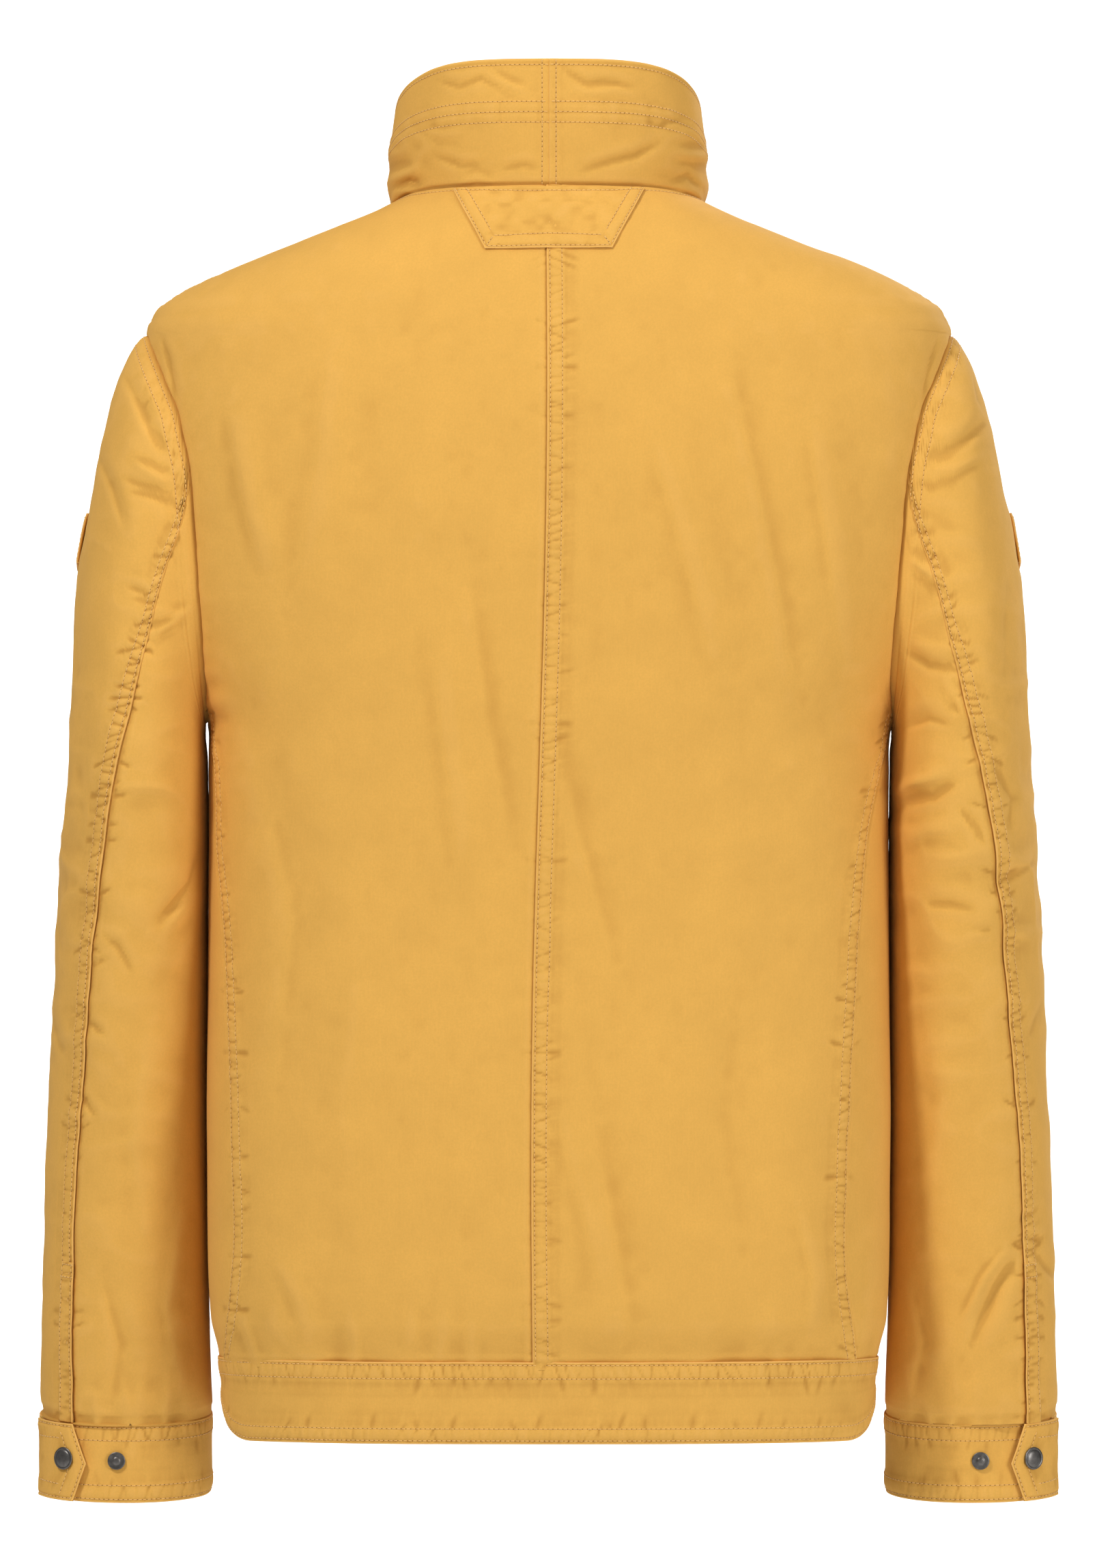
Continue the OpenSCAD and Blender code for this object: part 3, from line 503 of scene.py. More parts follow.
def washed(p, n, reach=4.5):
    """Painted highlight and shade from the cloth's own relief, partly also the look of a garment-dyed wash:
    paler on its ridges, deeper in its creases.
    """
    total = 0
    for axis in (0, 1):
        step = np.linalg.norm(np.diff(p, axis=axis), axis=-1).mean()
        k = int(np.clip(round(reach / step), 1, max(1, p.shape[axis] // 3)))
        i = np.arange(p.shape[axis])
        ahead = np.take(p, np.minimum(i + k, i[-1]), axis=axis)
        behind = np.take(p, np.maximum(i - k, 0), axis=axis)
        total = total + ((p - (ahead + behind) / 2) * n).sum(-1)
    return np.clip(0.75 * (total - np.median(total)), -0.6, 0.25)


def shell(name, p, n, thickness=CLOTH, tone=None):
    """A closed layer of cloth under a grid of points whose outward normals are n."""
    rows, cols = p.shape[:2]
    count = rows * cols
    tone = np.zeros((rows, cols)) if tone is None else tone
    outward = np.cross(p[0, 1] - p[0, 0], p[1, 0] - p[0, 0]) @ n[0, 0] > 0
    top = grid_faces(rows, cols, flip=not outward)
    bottom = grid_faces(rows, cols, flip=outward) + count
    ids = np.arange(count).reshape(rows, cols)
    rim = np.concatenate([ids[0, :-1], ids[:-1, -1], ids[-1, :0:-1], ids[:0:-1, 0]])
    nxt = np.roll(rim, -1)
    side = np.stack([rim, rim + count, nxt + count, nxt], -1)
    if not outward:
        side = side[:, ::-1]
    verts = np.concatenate([p.reshape(-1, 3), (p - n * thickness).reshape(-1, 3)])
    # the tone gets painted highlight on ridges and painted shade in creases, partly the wash of the cloth
    tone = np.clip(tone + washed(p, n), -1.1, 1.2).ravel()
    return mesh_object(name, verts, np.concatenate([top, bottom, side]), np.concatenate([tone, 0.35 * tone]))


def mirrored(p, side):
    return p * [side, 1, 1]


# ---- Stitches ----
def circle(count):
    a = np.arange(count) * 2 * math.pi / count
    return np.stack([np.cos(a), np.sin(a)], -1)


# The six-sided discs are flat dark dots laid just over the cloth between stitches: painted shade in the gaps at
# the needle holes.
RING, SHADE_DOT = circle(5), circle(6)
THREAD_RINGS = ((-1, 0.25), (-0.72, 0.95), (0.72, 0.95), (1, 0.25))   # place along the stitch, and thickness
SHADE_DOT_RINGS = ((0.33, 0.02), (0.18, 0.1))                              # radius and height
SHADE_DOT_CAP = np.array([[6, 7, 8, 9], [6, 9, 10, 11]])


class Stitches:
    """Collects thread segments and dark dots of painted shade at the needle holes, then makes one mesh of them.
    """

    def __init__(self):
        self.verts, self.faces, self.tone, self.count = [], [], [], 0

    def add(self, rings, tone, cap=np.empty((0, 4), int)):
        """The same rings of points for every stitch, joined by faces."""
        n, k = rings[0].shape[:2]
        i = np.arange(k)
        sides = [np.stack([i, (i + 1) % k, (i + 1) % k + k, i + k], -1) + j * k for j in range(len(rings) - 1)]
        size, one = k * len(rings), np.concatenate([*sides, cap])
        self.verts.append(np.concatenate(rings, axis=1).reshape(-1, 3))
        self.faces.append((one[None] + (np.arange(n) * size)[:, None, None] + self.count).reshape(-1, 4))
        self.tone.append(np.full(n * size, tone))
        self.count += n * size

    def row(self, path, normal, pitch=PITCH, length=STITCH, radius=THREAD):
        """Stitches along a path, each a thread that dips at both ends, and after each a dark disc of painted
        shade in the gap.
        """
        path, normal = np.asarray(path, float), np.asarray(normal, float)
        run = run_along(path)
        if run[-1] < pitch:
            return
        at = lambda s, v: np.stack([np.interp(s, run, v[:, k]) for k in range(3)], -1)
        along = lambda s, reach: unit(at(s + reach, path) - at(s - reach, path))
        c = np.arange(pitch / 2, run[-1] - pitch / 2, pitch)
        tangent, up = along(c, length / 2), at(c, normal)
        up = unit(up - tangent * (up * tangent).sum(1, keepdims=True))
        across, rings = np.cross(tangent, up), []
        for place, thick in THREAD_RINGS:
            low = 0.9 * radius if abs(place) == 1 else 0
            middle = at(c, path) + up * (radius - SINK - low) + tangent * (place * length / 2)
            rings.append(middle[:, None] + radius * thick * (RING[None, :, :1] * across[:, None] * 1.15
                                                             + RING[None, :, 1:] * up[:, None]))
        self.add(rings, 0.0)
        # a dark disc between each two stitches, with tone -1: painted shade in the gap
        c = c[:-1] + pitch / 2
        tangent, up = along(c, 0.5), unit(at(c, normal))
        across = np.cross(tangent, up)
        self.add([(at(c, path) + up * height)[:, None] + radius * (SHADE_DOT[None, :, :1] * across[:, None] * 1.1
                                                                  + SHADE_DOT[None, :, 1:] * tangent[:, None])
                  for radius, height in SHADE_DOT_RINGS], -1.0, SHADE_DOT_CAP)

    def build(self, name):
        return mesh_object(name, *(np.concatenate(part) for part in (self.verts, self.faces, self.tone)))


# ---- Panels: a grid, its relief, its sewn edges and its stitches ----
SLEEVE_AXIS = np.array([0.983, 0, -0.182])
SIDE_NAME = {1: "left", -1: "right"}
BODY_STITCHES = Stitches()
SLEEVE_STITCHES, CUFF_STITCHES, TAB_STITCHES, FLAP_STITCHES = (
    {1: Stitches(), -1: Stitches()} for _ in range(4))
BODY_CENTRE, NECK_CENTRE = (0, -60, 0), (0, -72, 0)
SLEEVE_CENTRE, CUFF_CENTRE = (238, -95, 0), (*CUFF_MIDDLE, 0)


def levels(start, stop, near, far, step):
    """Positions from start to stop with fixed steps beside each end."""
    near, far = np.asarray(near, float), np.asarray(far, float)
    length = abs(stop - start)
    count = max(1, int(math.ceil((length - near[-1] - far[-1]) / step)))
    return start + np.sign(stop - start) * spread(length, near, far, count)


def angle_at(z, x):
    a = angle_of_x(z, np.abs(x))
    return np.where(x >= 0, a, 180 - a)


def turn(z, mm):
    """The angle that moves a ring point sideways by a small distance."""
    return mm / curve(z, BODY, 1) * DEGREES


def outward_normals(p, centre):
    n = normals(p)
    away = (p - np.asarray(centre, float)) * [1, 1, 0]
    return n if (n * away).sum() > 0 else -n


def column(p, s, distance):
    """The line of points at a distance s from the grid's first or last column."""
    out = []
    for row, d in zip(p, s):
        order = np.argsort(d)
        out.append([np.interp(distance, d[order], row[order, k]) for k in range(3)])
    return np.array(out)


def line(p, s, distance):
    """The line of points at a distance along each column."""
    return column(p.transpose(1, 0, 2), s.T, distance)


def at_index(p, i, j):
    """Points between grid points, at fractional rows and columns."""
    i0 = np.minimum(np.floor(i).astype(int), p.shape[0] - 2)
    j0 = np.minimum(np.floor(j).astype(int), p.shape[1] - 2)
    a, b = (i - i0)[:, None], (j - j0)[:, None]
    return ((p[i0, j0] * (1 - a) + p[i0 + 1, j0] * a) * (1 - b)
            + (p[i0, j0 + 1] * (1 - a) + p[i0 + 1, j0 + 1] * a) * b)


class Panel:
    """A grid of cloth with its outward normals, and each point's distance from the four edges:
    s0 and s1 from the first and last column, r0 and r1 from the first and last row."""

    def __init__(self, surface, rows, ends, near, far, step, side=1, centre=BODY_CENTRE, samples=240):
        p, self.s0, self.s1 = grid_of(surface, rows, ends, near, far, step, samples)
        self.side, self.centre = side, mirrored(np.array(centre), side)
        self.p = mirrored(p, side)
        self.n = outward_normals(self.p, self.centre)
        self.r0, self.r1 = row_distance(self.p), row_distance(self.p[::-1])[::-1]
        self.z = self.p[..., 2]

    def near(self, *edges):
        return np.minimum.reduce([getattr(self, edge) for edge in edges])

    def lift(self, h):
        """Moves the points out along their normals."""
        self.p = self.p + self.n * h[..., None]
        self.n = outward_normals(self.p, self.centre)

    def sew(self, stitches, edge, *distances, ends=(0, None), inside=None, **thread):
        """Rows of stitches along an edge. Ends cuts rows short; inside sews the back of cloth that thick."""
        cut, s = line if edge[0] == "r" else column, getattr(self, edge)
        p, n = (self.p, self.n) if inside is None else (self.p - self.n * inside, -self.n)
        for d in distances:
            stitches.row(cut(p, s, d)[slice(*ends)], cut(n, s, d)[slice(*ends)], **thread)

    def shell(self, name, tone=None, thickness=CLOTH):
        """The finished piece; a name that ends in _ gets its side."""
        return shell(name + (SIDE_NAME[self.side] if name[-1] == "_" else ""), self.p, self.n, thickness, tone)


# Tone of a lapped, folded edge: a painted highlight along the fold and painted shade in the first stitch row's
# groove.
def over_tone(s):
    return 0.9 * bell(s, 0, 0.8) - 0.35 * bell(s, FIRST_ROW, 0.8)


# Painted shade on an under layer: full under the lapped edge over it, fading out beyond that edge.
def under_tone(s, width):
    return bell(np.maximum(s - UNDER, 0), 0, width)


def rolled(s):
    """Height of an unstitched edge that stands over a seam."""
    return 0.8 * bell(s, 3, 3.2) - 1.5 * (1 - np.minimum(s / 1.6, 1)) ** 2


def under(s):
    return -1.0 * (1 - ease((s - 3.5) / 3.0))


def covered(along, s, seed, strength):
    """The puckers of a seam, as they run on in the panel under it."""
    return pucker(along, s + SEAM - UNDER, seed, strength=strength) * (s > UNDER)


def seam_x(z):
    """The centre back seam wanders a little towards the wearer's left."""
    down = np.clip(-z / 640, 0, 1)
    return 1.5 + 7.5 * down - 2.2 * np.sin(down * 2 * np.pi)


BODY_ROWS = np.concatenate([levels(BAND_TOP - UNDER, Z_ARM_TOP, PLAIN, [0], 1.25)[:-1],
                            levels(Z_ARM_TOP, -57, [0], [0], 0.9)[:-1],
                            levels(-57, Z_NECK, [0], NEAR[:8] * 0.7, 0.8)])


def row_of(z):
    return np.searchsorted(BODY_ROWS, z)


def armhole_part(z, join):
    """1 beside the armhole, and 0 below the join and on the shoulder."""
    return ease((z - join) / 14) * (1 - ease((z - Z_ARM_TOP + 2) / 8))


def hem_and_neck(g):
    """Relief of a body panel's ends: under the hem band, and stitched below the collar."""
    return under(g.r0) * 0.9 - 0.25 * bell(g.r1, NECK_ROW, 0.8) + 0.25 * bell(g.r1, 0, 1.5)


def back_panel(side):
    def ends(z):
        return angle_at(z, seam_x(z) * side - (UNDER if side > 0 else 0)), back_seam_angle(z, side)
    g = Panel(body_at, BODY_ROWS, ends, NEAR, NEAR, 2.6, side)
    h, arm = body_relief(g.p, g.n), armhole_part(g.z, Z_BACK_JOIN)
    if side < 0:
        pk = pucker(g.z, g.s0, 3, strength=0.85)
        # tone: painted highlight on the lapped edge, painted shade in its stitch groove and in the puckers'
        # grooves
        h, tone = h + lap(g.s0) + pk, over_tone(g.s0) + pk
    else:
        # tone: painted shade on the under layer beside the lapped edge over it
        h, tone = h + under(g.s0) + covered(g.z, g.s0, 3, 0.6), -0.6 * under_tone(g.s0, 1.4)
    pk = pucker(g.z, g.s1, 20 + side) * (1 - arm)
    h = h + (lap(g.s1) + pk) * (1 - arm) + rolled(g.s1) * arm + hem_and_neck(g)
    # tone: painted highlight and shade along the armhole edge and in its puckers
    tone = tone + over_tone(g.s1) * (1 - 0.6 * arm) + pk
    h = h + arm * (0.35 * bell(g.s1, 0, 14) * noise(g.p, [9, 9, 6], 31) - 0.9 * (1 - ease(g.s1 / 9)))
    g.lift(h)
    if side < 0:
        g.sew(BODY_STITCHES, "s0", FIRST_ROW, SECOND_ROW, ends=(4, None))
    for ends in ((3, row_of(Z_BACK_JOIN - 1)), (row_of(Z_ARM_TOP + 5), len(BODY_ROWS) - 2)):
        g.sew(BODY_STITCHES, "s1", FIRST_ROW, SECOND_ROW, ends=ends)
    g.sew(BODY_STITCHES, "r1", NECK_ROW)
    return g.shell("back_", tone)


MOUTH_TOP, MOUTH_LOW = -462, -612
WELT_EDGE, WELT_WIDTH, MOUTH_WIDTH = 9.5, 22, 12


def mouth_gap(z):
    return MOUTH_WIDTH * ease((z - MOUTH_LOW + 8) / 16) * ease((MOUTH_TOP + 8 - z) / 16)


def front_panel(side):
    def ends(z):
        return -angle_of_x(z, EDGE_X), -front_seam_angle(z) - turn(z, mouth_gap(z))
    g = Panel(body_at, BODY_ROWS, ends, NEAR, NEAR, 3.4, side)
    arm, shoulder = armhole_part(g.z, Z_FRONT_JOIN), ease((g.z - Z_ARM_TOP + 2) / 8)
    seam = (1 - arm) * (1 - shoulder)
    pk, zip_pk = pucker(g.z, g.s1, 30 + side) * seam, pucker(g.z, g.s0, 34 + side, strength=0.6)
    h = body_relief(g.p, g.n) * (1 - 0.85 * bell(g.s0, 0, 22)) + lap(g.s0, lift=0.5) - 0.3 + zip_pk
    h = h + (lap(g.s1) + pk) * seam + rolled(g.s1) * arm + under(g.s1) * shoulder + hem_and_neck(g)
    g.lift(h)
    g.sew(BODY_STITCHES, "s0", FIRST_ROW, SECOND_ROW, ends=(3, None))
    g.sew(BODY_STITCHES, "s1", FIRST_ROW, SECOND_ROW, ends=(3, row_of(Z_FRONT_JOIN - 1)))
    g.sew(BODY_STITCHES, "r1", NECK_ROW)
    # tone: painted highlight on the lapped edges and painted shade in their stitch grooves and puckers, at the
    # side seam and beside the zip
    tone = over_tone(g.s1) * (1 - 0.6 * arm) * (1 - shoulder) + pk + over_tone(g.s0) + 0.6 * zip_pk
    return g.shell("front_", tone)


def arm_low(u):
    z = np.where(u < 0.5, Z_BACK_JOIN + (Z_ARM_LOW - Z_BACK_JOIN) * (1 - (1 - 2 * u) ** 2),
                 Z_ARM_LOW + (Z_FRONT_JOIN - Z_ARM_LOW) * (2 * u - 1) ** 2)
    return z, np.where(u < 0.5, 1, -1) * arm_angle(z)


def side_surface(s, u, side):
    top_z, top_angle = arm_low(u)
    between = lambda z: back_seam_angle(z, side) * (1 - u) - front_seam_angle(z) * u
    z = BAND_TOP - UNDER + (top_z - BAND_TOP + UNDER) * s
    return body_at(z, between(z) + s ** 3 * (top_angle - between(top_z)))


def side_panel(side):
    rows = levels(0, 1, PLAIN / 365, NEAR[:11] / 365, 1.2 / 365)
    g = Panel(lambda s, u: side_surface(s, u, side), rows, lambda s: (-0.035, 1.035), NEAR, NEAR, 3.6, side)
    h = body_relief(g.p, g.n) + under(g.s0) + under(g.s1) + under(g.r0) * 0.9 + rolled(g.r1) * 0.8
    g.lift(h + covered(g.z, g.s0, 20 + side, 0.9) * (g.s0 < 60))
    # tone: painted shade on the under layer beside the back panel's lapped edge
    return g.shell("side_", -0.6 * under_tone(g.s0, 1.6))


def band_edges(g, seed, second_low, second_high, lift=0.6):
    """Relief of a doubled band: both long edges folded and twin-stitched, with puckers across; and its tone,
    painted highlight on the folded edges and painted shade in the stitch grooves and puckers.
    """
    pk = (pucker(g.s0, g.r1, seed, width=second_high, strength=0.85)
          + pucker(g.s0, g.r0, seed + 7, width=second_low, strength=0.75))
    h = lap(g.r1, second_high, lift) + lap(g.r0, second_low, lift) + pk
    return h, over_tone(g.r1) + over_tone(g.r0) + pk


def hem_band():
    def surface(z, a):
        low = ease((BAND_TOP - 4 - z) / (BAND_HEIGHT - 4))
        side = np.abs(np.sin(np.radians(a)))
        return body_at(z + 19 * low * (1 - np.sin(np.minimum(side / 0.45, 1) * np.pi / 2)), a)
    ends = lambda z: (-angle_of_x(z, EDGE_X), 180 + angle_of_x(z, EDGE_X))
    g = Panel(surface, levels(-BODY_DROP, BAND_TOP, NEAR, NEAR, 2.2), ends, NEAR, NEAR, 1.3, samples=900)
    # tone: painted highlight on the folded edges and painted shade in the stitch grooves and puckers
    h, tone = band_edges(g, 61, 8.7, 9.4)
    h = h + 0.9 * noise(g.p * [1, 1, 0.4], 45, 62) + 0.3 * noise(g.p, 15, 63) + 0.4 - 1.0 * bell(g.r0, 0, 3)
    g.lift(h + lap(g.s0, lift=0.3) + lap(g.s1, lift=0.3))
    for edge, rows in (("r1", (FIRST_ROW, 9.4)), ("r0", (2.0, 8.7)), ("s0", (2.5,)), ("s1", (2.5,))):
        g.sew(BODY_STITCHES, edge, *rows)
    return g.shell("hem_band", tone, 2.0)


# ---- Collar, tab and what lies inside the neck ----
def collar_edge(x):
    return math.degrees(math.acos((x / 88) ** 1.025))


COLLAR_HEIGHT = 72     # along the cloth, where w is 1
COLLAR_W = levels(0, 1, PLAIN / COLLAR_HEIGHT, NEAR[:10] / COLLAR_HEIGHT, 1.6 / COLLAR_HEIGHT)
COLLAR_W = np.concatenate([[-0.07, -0.045, -0.02], COLLAR_W])   # with three rows tucked in below the neck line
COLLAR_ROWS = (0.653, 0.57, 0.486)
COLLAR_FOLDS = [
    ([(62, 67), (50, 63.5), (38, 67.5), (30, 64)], 2.6, -0.9),
    ([(32, 68), (22, 63), (13, 60)], 2.4, 0.9),
    ([(-9, 72), (-21, 64.4), (-31, 65.3), (-46, 63)], 2.6, -1.0),
    ([(-13, 61.5), (-24, 59), (-38, 60.6), (-50, 58)], 2.4, 0.8),
    ([(-18, 16), (-35, 20.8), (-49, 24.3), (-62, 32)], 3.0, -1.1),
    ([(27, 17), (14, 19), (6, 18)], 2.4, -0.8),
    ([(64, 25), (49, 19), (37, 20)], 2.6, -0.9),
    ([(85, 8), (78.5, 11.2), (72, 10)], 3.0, -2.0),
    ([(-85, 9), (-78, 15), (-70, 13)], 3.0, -1.6),
    ([(70, 40), (60, 36), (48, 38)], 2.6, 0.7),
    ([(-52, 45), (-62, 42), (-74, 46)], 2.6, -0.8),
    ([(52, 8), (40, 12), (30, 9)], 2.4, 0.7),
]


def collar_outer(side):
    """Half of the collar; the wearer's right half laps over the left one at the back."""
    over = side < 0
    g = Panel(collar_at, COLLAR_W, lambda w: (-collar_edge(EDGE_X), 90 if over else 91.2), NEAR, NEAR, 2.4,
              side, NECK_CENTRE)
    w = np.broadcast_to(COLLAR_W[:, None], g.r0.shape)
    x, y = g.p[..., 0], g.p[..., 1]
    around = np.degrees(np.arctan2(y - NECK_CENTRE[1], x))
    h = 0.9 * noise(g.p * [1, 1, 0.7], 34, 71) + 0.35 * noise(g.p, 13, 72)
    low_ends = ease((np.abs(x) - 52) / 30) * ease((0.75 - w) / 0.5)
    h = h + low_ends * 1.6 * (1 - 2 * np.abs(noise(g.p * [1, 0.5, 1.6], 17, 73)))
    # tone: painted highlight on the edge, painted shade in the stitch rows' grooves, and painted highlight and
    # shade on the puckers
    tone = over_tone(g.r1)
    for row in COLLAR_ROWS:
        d = (w - row) * COLLAR_HEIGHT
        h, tone = h - 0.35 * bell(d, 0, 0.9), tone - 0.25 * bell(d, 0, 0.8)
    band = ease((w - 0.45) / 0.05) * ease((0.69 - w) / 0.05)
    pk = noise(np.stack([around * 1.4, 0 * x, 0 * x], -1), [4.5, 1, 1], 74)
    h, tone = h + band * (0.25 + 0.16 * pk), tone + 0.15 * band * pk
    h = h - 0.9 * (1 - np.minimum(g.r1 / 1.3, 1)) ** 2 - 0.25 * bell(g.r1, 3.5, 0.8)
    h = h - 1.7 * (1 - ease((w + 0.02) / 0.04)) + sum(fold(x, g.z, *f) for f in COLLAR_FOLDS) * facing(g.n, 1)
    # tone: painted highlight on the over half's lapping edge, painted shade on the under half beside it
    if over:
        h = h + 0.5 * (1 - ease((g.s1 - 5) / 2)) - 0.9 * (1 - np.minimum(g.s1 / 0.8, 1)) ** 2
        h, tone = h - 0.25 * bell(g.s1, 4.2, 0.8), tone + 0.6 * bell(g.s1, 0, 0.8)
    else:
        h = h + 0.2 * (1 - ease((g.s1 - 6) / 2)) - 0.7 * bell(g.s1, 0, 2.0)
        tone = tone - 0.4 * bell(g.s1, 0, 2.4)
    g.lift(h)
    j = np.arange(2, g.p.shape[1] - 2).astype(float)
    for row in COLLAR_ROWS:
        i = np.full(len(j), np.interp(row, COLLAR_W, np.arange(len(COLLAR_W))))
        BODY_STITCHES.row(at_index(g.p, i, j), at_index(g.n, i, j))
    g.sew(BODY_STITCHES, "r1", 3.5)
    g.sew(BODY_STITCHES, "s1", 4.2 if over else 5.6, ends=(2, -2))
    g.sew(BODY_STITCHES, "s0", 2.5)
    return g.shell("collar_", tone)


def collar_inner():
    rows = levels(0, 1, PLAIN / COLLAR_HEIGHT, PLAIN / COLLAR_HEIGHT, 2.4 / COLLAR_HEIGHT)
    edge = collar_edge(EDGE_X + 0.5)
    g = Panel(collar_at, rows, lambda w: (-edge, 180 + edge), PLAIN, PLAIN, 3, centre=NECK_CENTRE, samples=500)
    h = 0.9 * noise(g.p * [1, 1, 0.7], 34, 71) - 1.35 + 0.3 * noise(g.p, 11, 75)
    g.lift(h + 0.5 * bell(g.r1, 0, 1.2))
    g.sew(BODY_STITCHES, "r1", 3.5, inside=1.0)
    return g.shell("collar_inner", thickness=1.0)


TAB_DROP, TAB_HALF, TAB_TAPER = 36, 54, 18.5
TAB_HEIGHTS = np.array([[0, Z_NECK - 0.5], [12, -16.2], [24, -25.5], [TAB_DROP, -35.7]], float)


def neck_tab():
    half = lambda drop: TAB_HALF - TAB_TAPER * drop / TAB_DROP
    def surface(drop, x):
        z = curve(drop, TAB_HEIGHTS) + 0 * x
        return body_at(z, angle_at(z, x))
    g = Panel(surface, levels(0.5, TAB_DROP, NEAR, NEAR, 2.0), lambda d: (half(d), -half(d)), NEAR, NEAR, 2.0)
    near = g.near("s0", "s1", "r1")
    h = body_relief(g.p, g.n) + 1.15 + lap(near, 8.8, 0.35) - 0.25 * bell(g.r0, NECK_ROW, 0.8)
    h = h + 0.5 * noise(g.p, [8, 8, 5], 41) * ease((near - 8) / 4) + 0.3 * noise(g.p * [1, 1, 1.4], 4.5, 42)
    # tone: painted highlight on the folded edges, painted shade in the stitch grooves, and a faint random tone
    tone = 1.2 * over_tone(near) + 0.1 * noise(g.p, 5, 43)
    g.lift(h)
    for d, cut in ((1.6, 4), (8.8, 10)):
        for edge in ("s0", "s1"):
            g.sew(BODY_STITCHES, edge, d, ends=(0, -cut))
        g.sew(BODY_STITCHES, "r1", d, ends=(cut, -cut))
    g.sew(BODY_STITCHES, "r0", NECK_ROW)
    rows, cols, k = np.arange(g.p.shape[0]), np.arange(g.p.shape[1]), np.linspace(1.5, 8.8, 8)
    for s in (g.s0, g.s1):
        order = np.argsort(s[-1])
        i, j = np.interp(k, g.r1[::-1, 0], rows[::-1]), np.interp(k, s[-1][order], cols[order])
        BODY_STITCHES.row(at_index(g.p, i, j), at_index(g.n, i, j), pitch=2.3, length=1.8)
    return g.shell("neck_tab", tone)


def neck_facing():
    def surface(u, v):
        z = (Z_NECK - 1) * (1 - v) + (Z_NECK - 3 - 84 * max(math.sin(math.pi * u), 0) ** 0.8) * v
        return body_at(z, 16 + 148 * u + 0 * v)
    g = Panel(surface, np.linspace(0, 1, 90), lambda u: (0.0, 1.0), PLAIN, PLAIN, 3)
    g.lift(body_relief(g.p, g.n) - 2.2)
    g.sew(BODY_STITCHES, "s1", 2, inside=0.6)
    return g.shell("neck_facing", thickness=0.6)


def hanger_loop():
    """A strip of twill that hangs in an arc and leans out from the neck."""
    lean, radius = math.radians(38), 28.9
    a = np.linspace(math.pi + 0.2, -0.2, 90)
    rows = np.array([-2.5, -2.1, -1.4, -0.5, 0.5, 1.4, 2.1, 2.5])
    a_, rows_ = np.broadcast_arrays(a[None], rows[:, None])
    n = np.stack([np.cos(a_), 0 * a_, np.sin(a_)], -1)
    p = n * radius + np.stack([0 * a_, rows_, 0 * a_ - 28], -1)
    rib = 0.12 * np.sin(a_ * 60) * bell(np.abs(rows_), 1.9, 0.5) + 0.25 * (1 - (rows_ / 2.5) ** 2)
    p = p + n * rib[..., None]
    turned = np.array([[1, 0, 0], [0, math.cos(lean), math.sin(lean)], [0, -math.sin(lean), math.cos(lean)]])
    p, n = p @ turned, n @ turned
    for k in (1, 6):
        BODY_STITCHES.row(p[k], n[k], pitch=2.0, length=1.4, radius=0.2)
    return shell("hanger_loop", p, n, 1.1)


# ---- Sleeves ----
SLEEVE_STATION = np.linspace(0, 10, 500)
SLEEVE_RUN = run_along(sleeve_at(SLEEVE_STATION, 20))
SLEEVE_ROWS = np.interp(levels(0, SLEEVE_RUN[-1], NEAR, PLAIN, 1.5), SLEEVE_RUN, SLEEVE_STATION)
SLEEVE_ROWS = np.append(SLEEVE_ROWS, 10.12)   # the last row runs on under the cuff
VENT_TOP = 8.6
ARM_ROWS = (2.2, 8.2)  # stitch rows round the armhole, from its seam
HIDDEN_ROWS = ((5.5, 3.1), (3.5, 3.1), (1.6, 2.8))   # how far in under the body, and how deep


def seam_turn(t, mm):
    """Sleeve angle for a small distance along its ring."""
    return mm / 62 * DEGREES * (1 + 0.25 * np.clip((t - 5) / 5, 0, 1))


def arm_under(angle, mm, depth):
    """A line on the body's surface round the armhole, mm in from its edge and sunk by a depth."""
    c, s = np.cos(np.radians(angle)), np.sin(np.radians(angle))
    z = ARM_MIDDLE + (ARM_HALF + mm) * c
    sign = np.where(s > 0, 1, -1)
    a = sign * (arm_angle(ARM_MIDDLE + ARM_HALF * c) + turn(z, mm) * np.abs(s))
    across = body_at(z, a + 0.5) - body_at(z, a - 0.5)
    up = body_at(z + 0.5, a) - body_at(z - 0.5, a)
    n = np.cross(across, up)
    n /= np.linalg.norm(n, axis=-1, keepdims=True)
    return body_at(z, a) - n * depth, n


def arm_distance(p, side):
    """Distance from the armhole's seam, and the place along it, for rows that start on it."""
    loop = mirrored(arm_loop(np.linspace(0, 360, 900)), side)
    run = run_along(loop)
    away = row_distance(p)
    along = away.copy()
    close = int(np.argmax(away.min(axis=1) > 30))
    step = away[close:] - away[close - 1]
    for i, row in enumerate(p[:close]):
        d = np.linalg.norm(row[:, None] - loop[None], axis=-1)
        k, every = np.clip(d.argmin(axis=1), 1, len(run) - 2), np.arange(len(row))
        a, b = d[every, k - 1] ** 2, d[every, k + 1] ** 2
        away[i], along[i] = d.min(axis=1), run[k] + (a - b) / (2 * (run[k + 1] - run[k - 1]))
    away[0] = 0
    away[close:] = away[close - 1] + step
    along[close:] = along[close - 1]
    return away, along


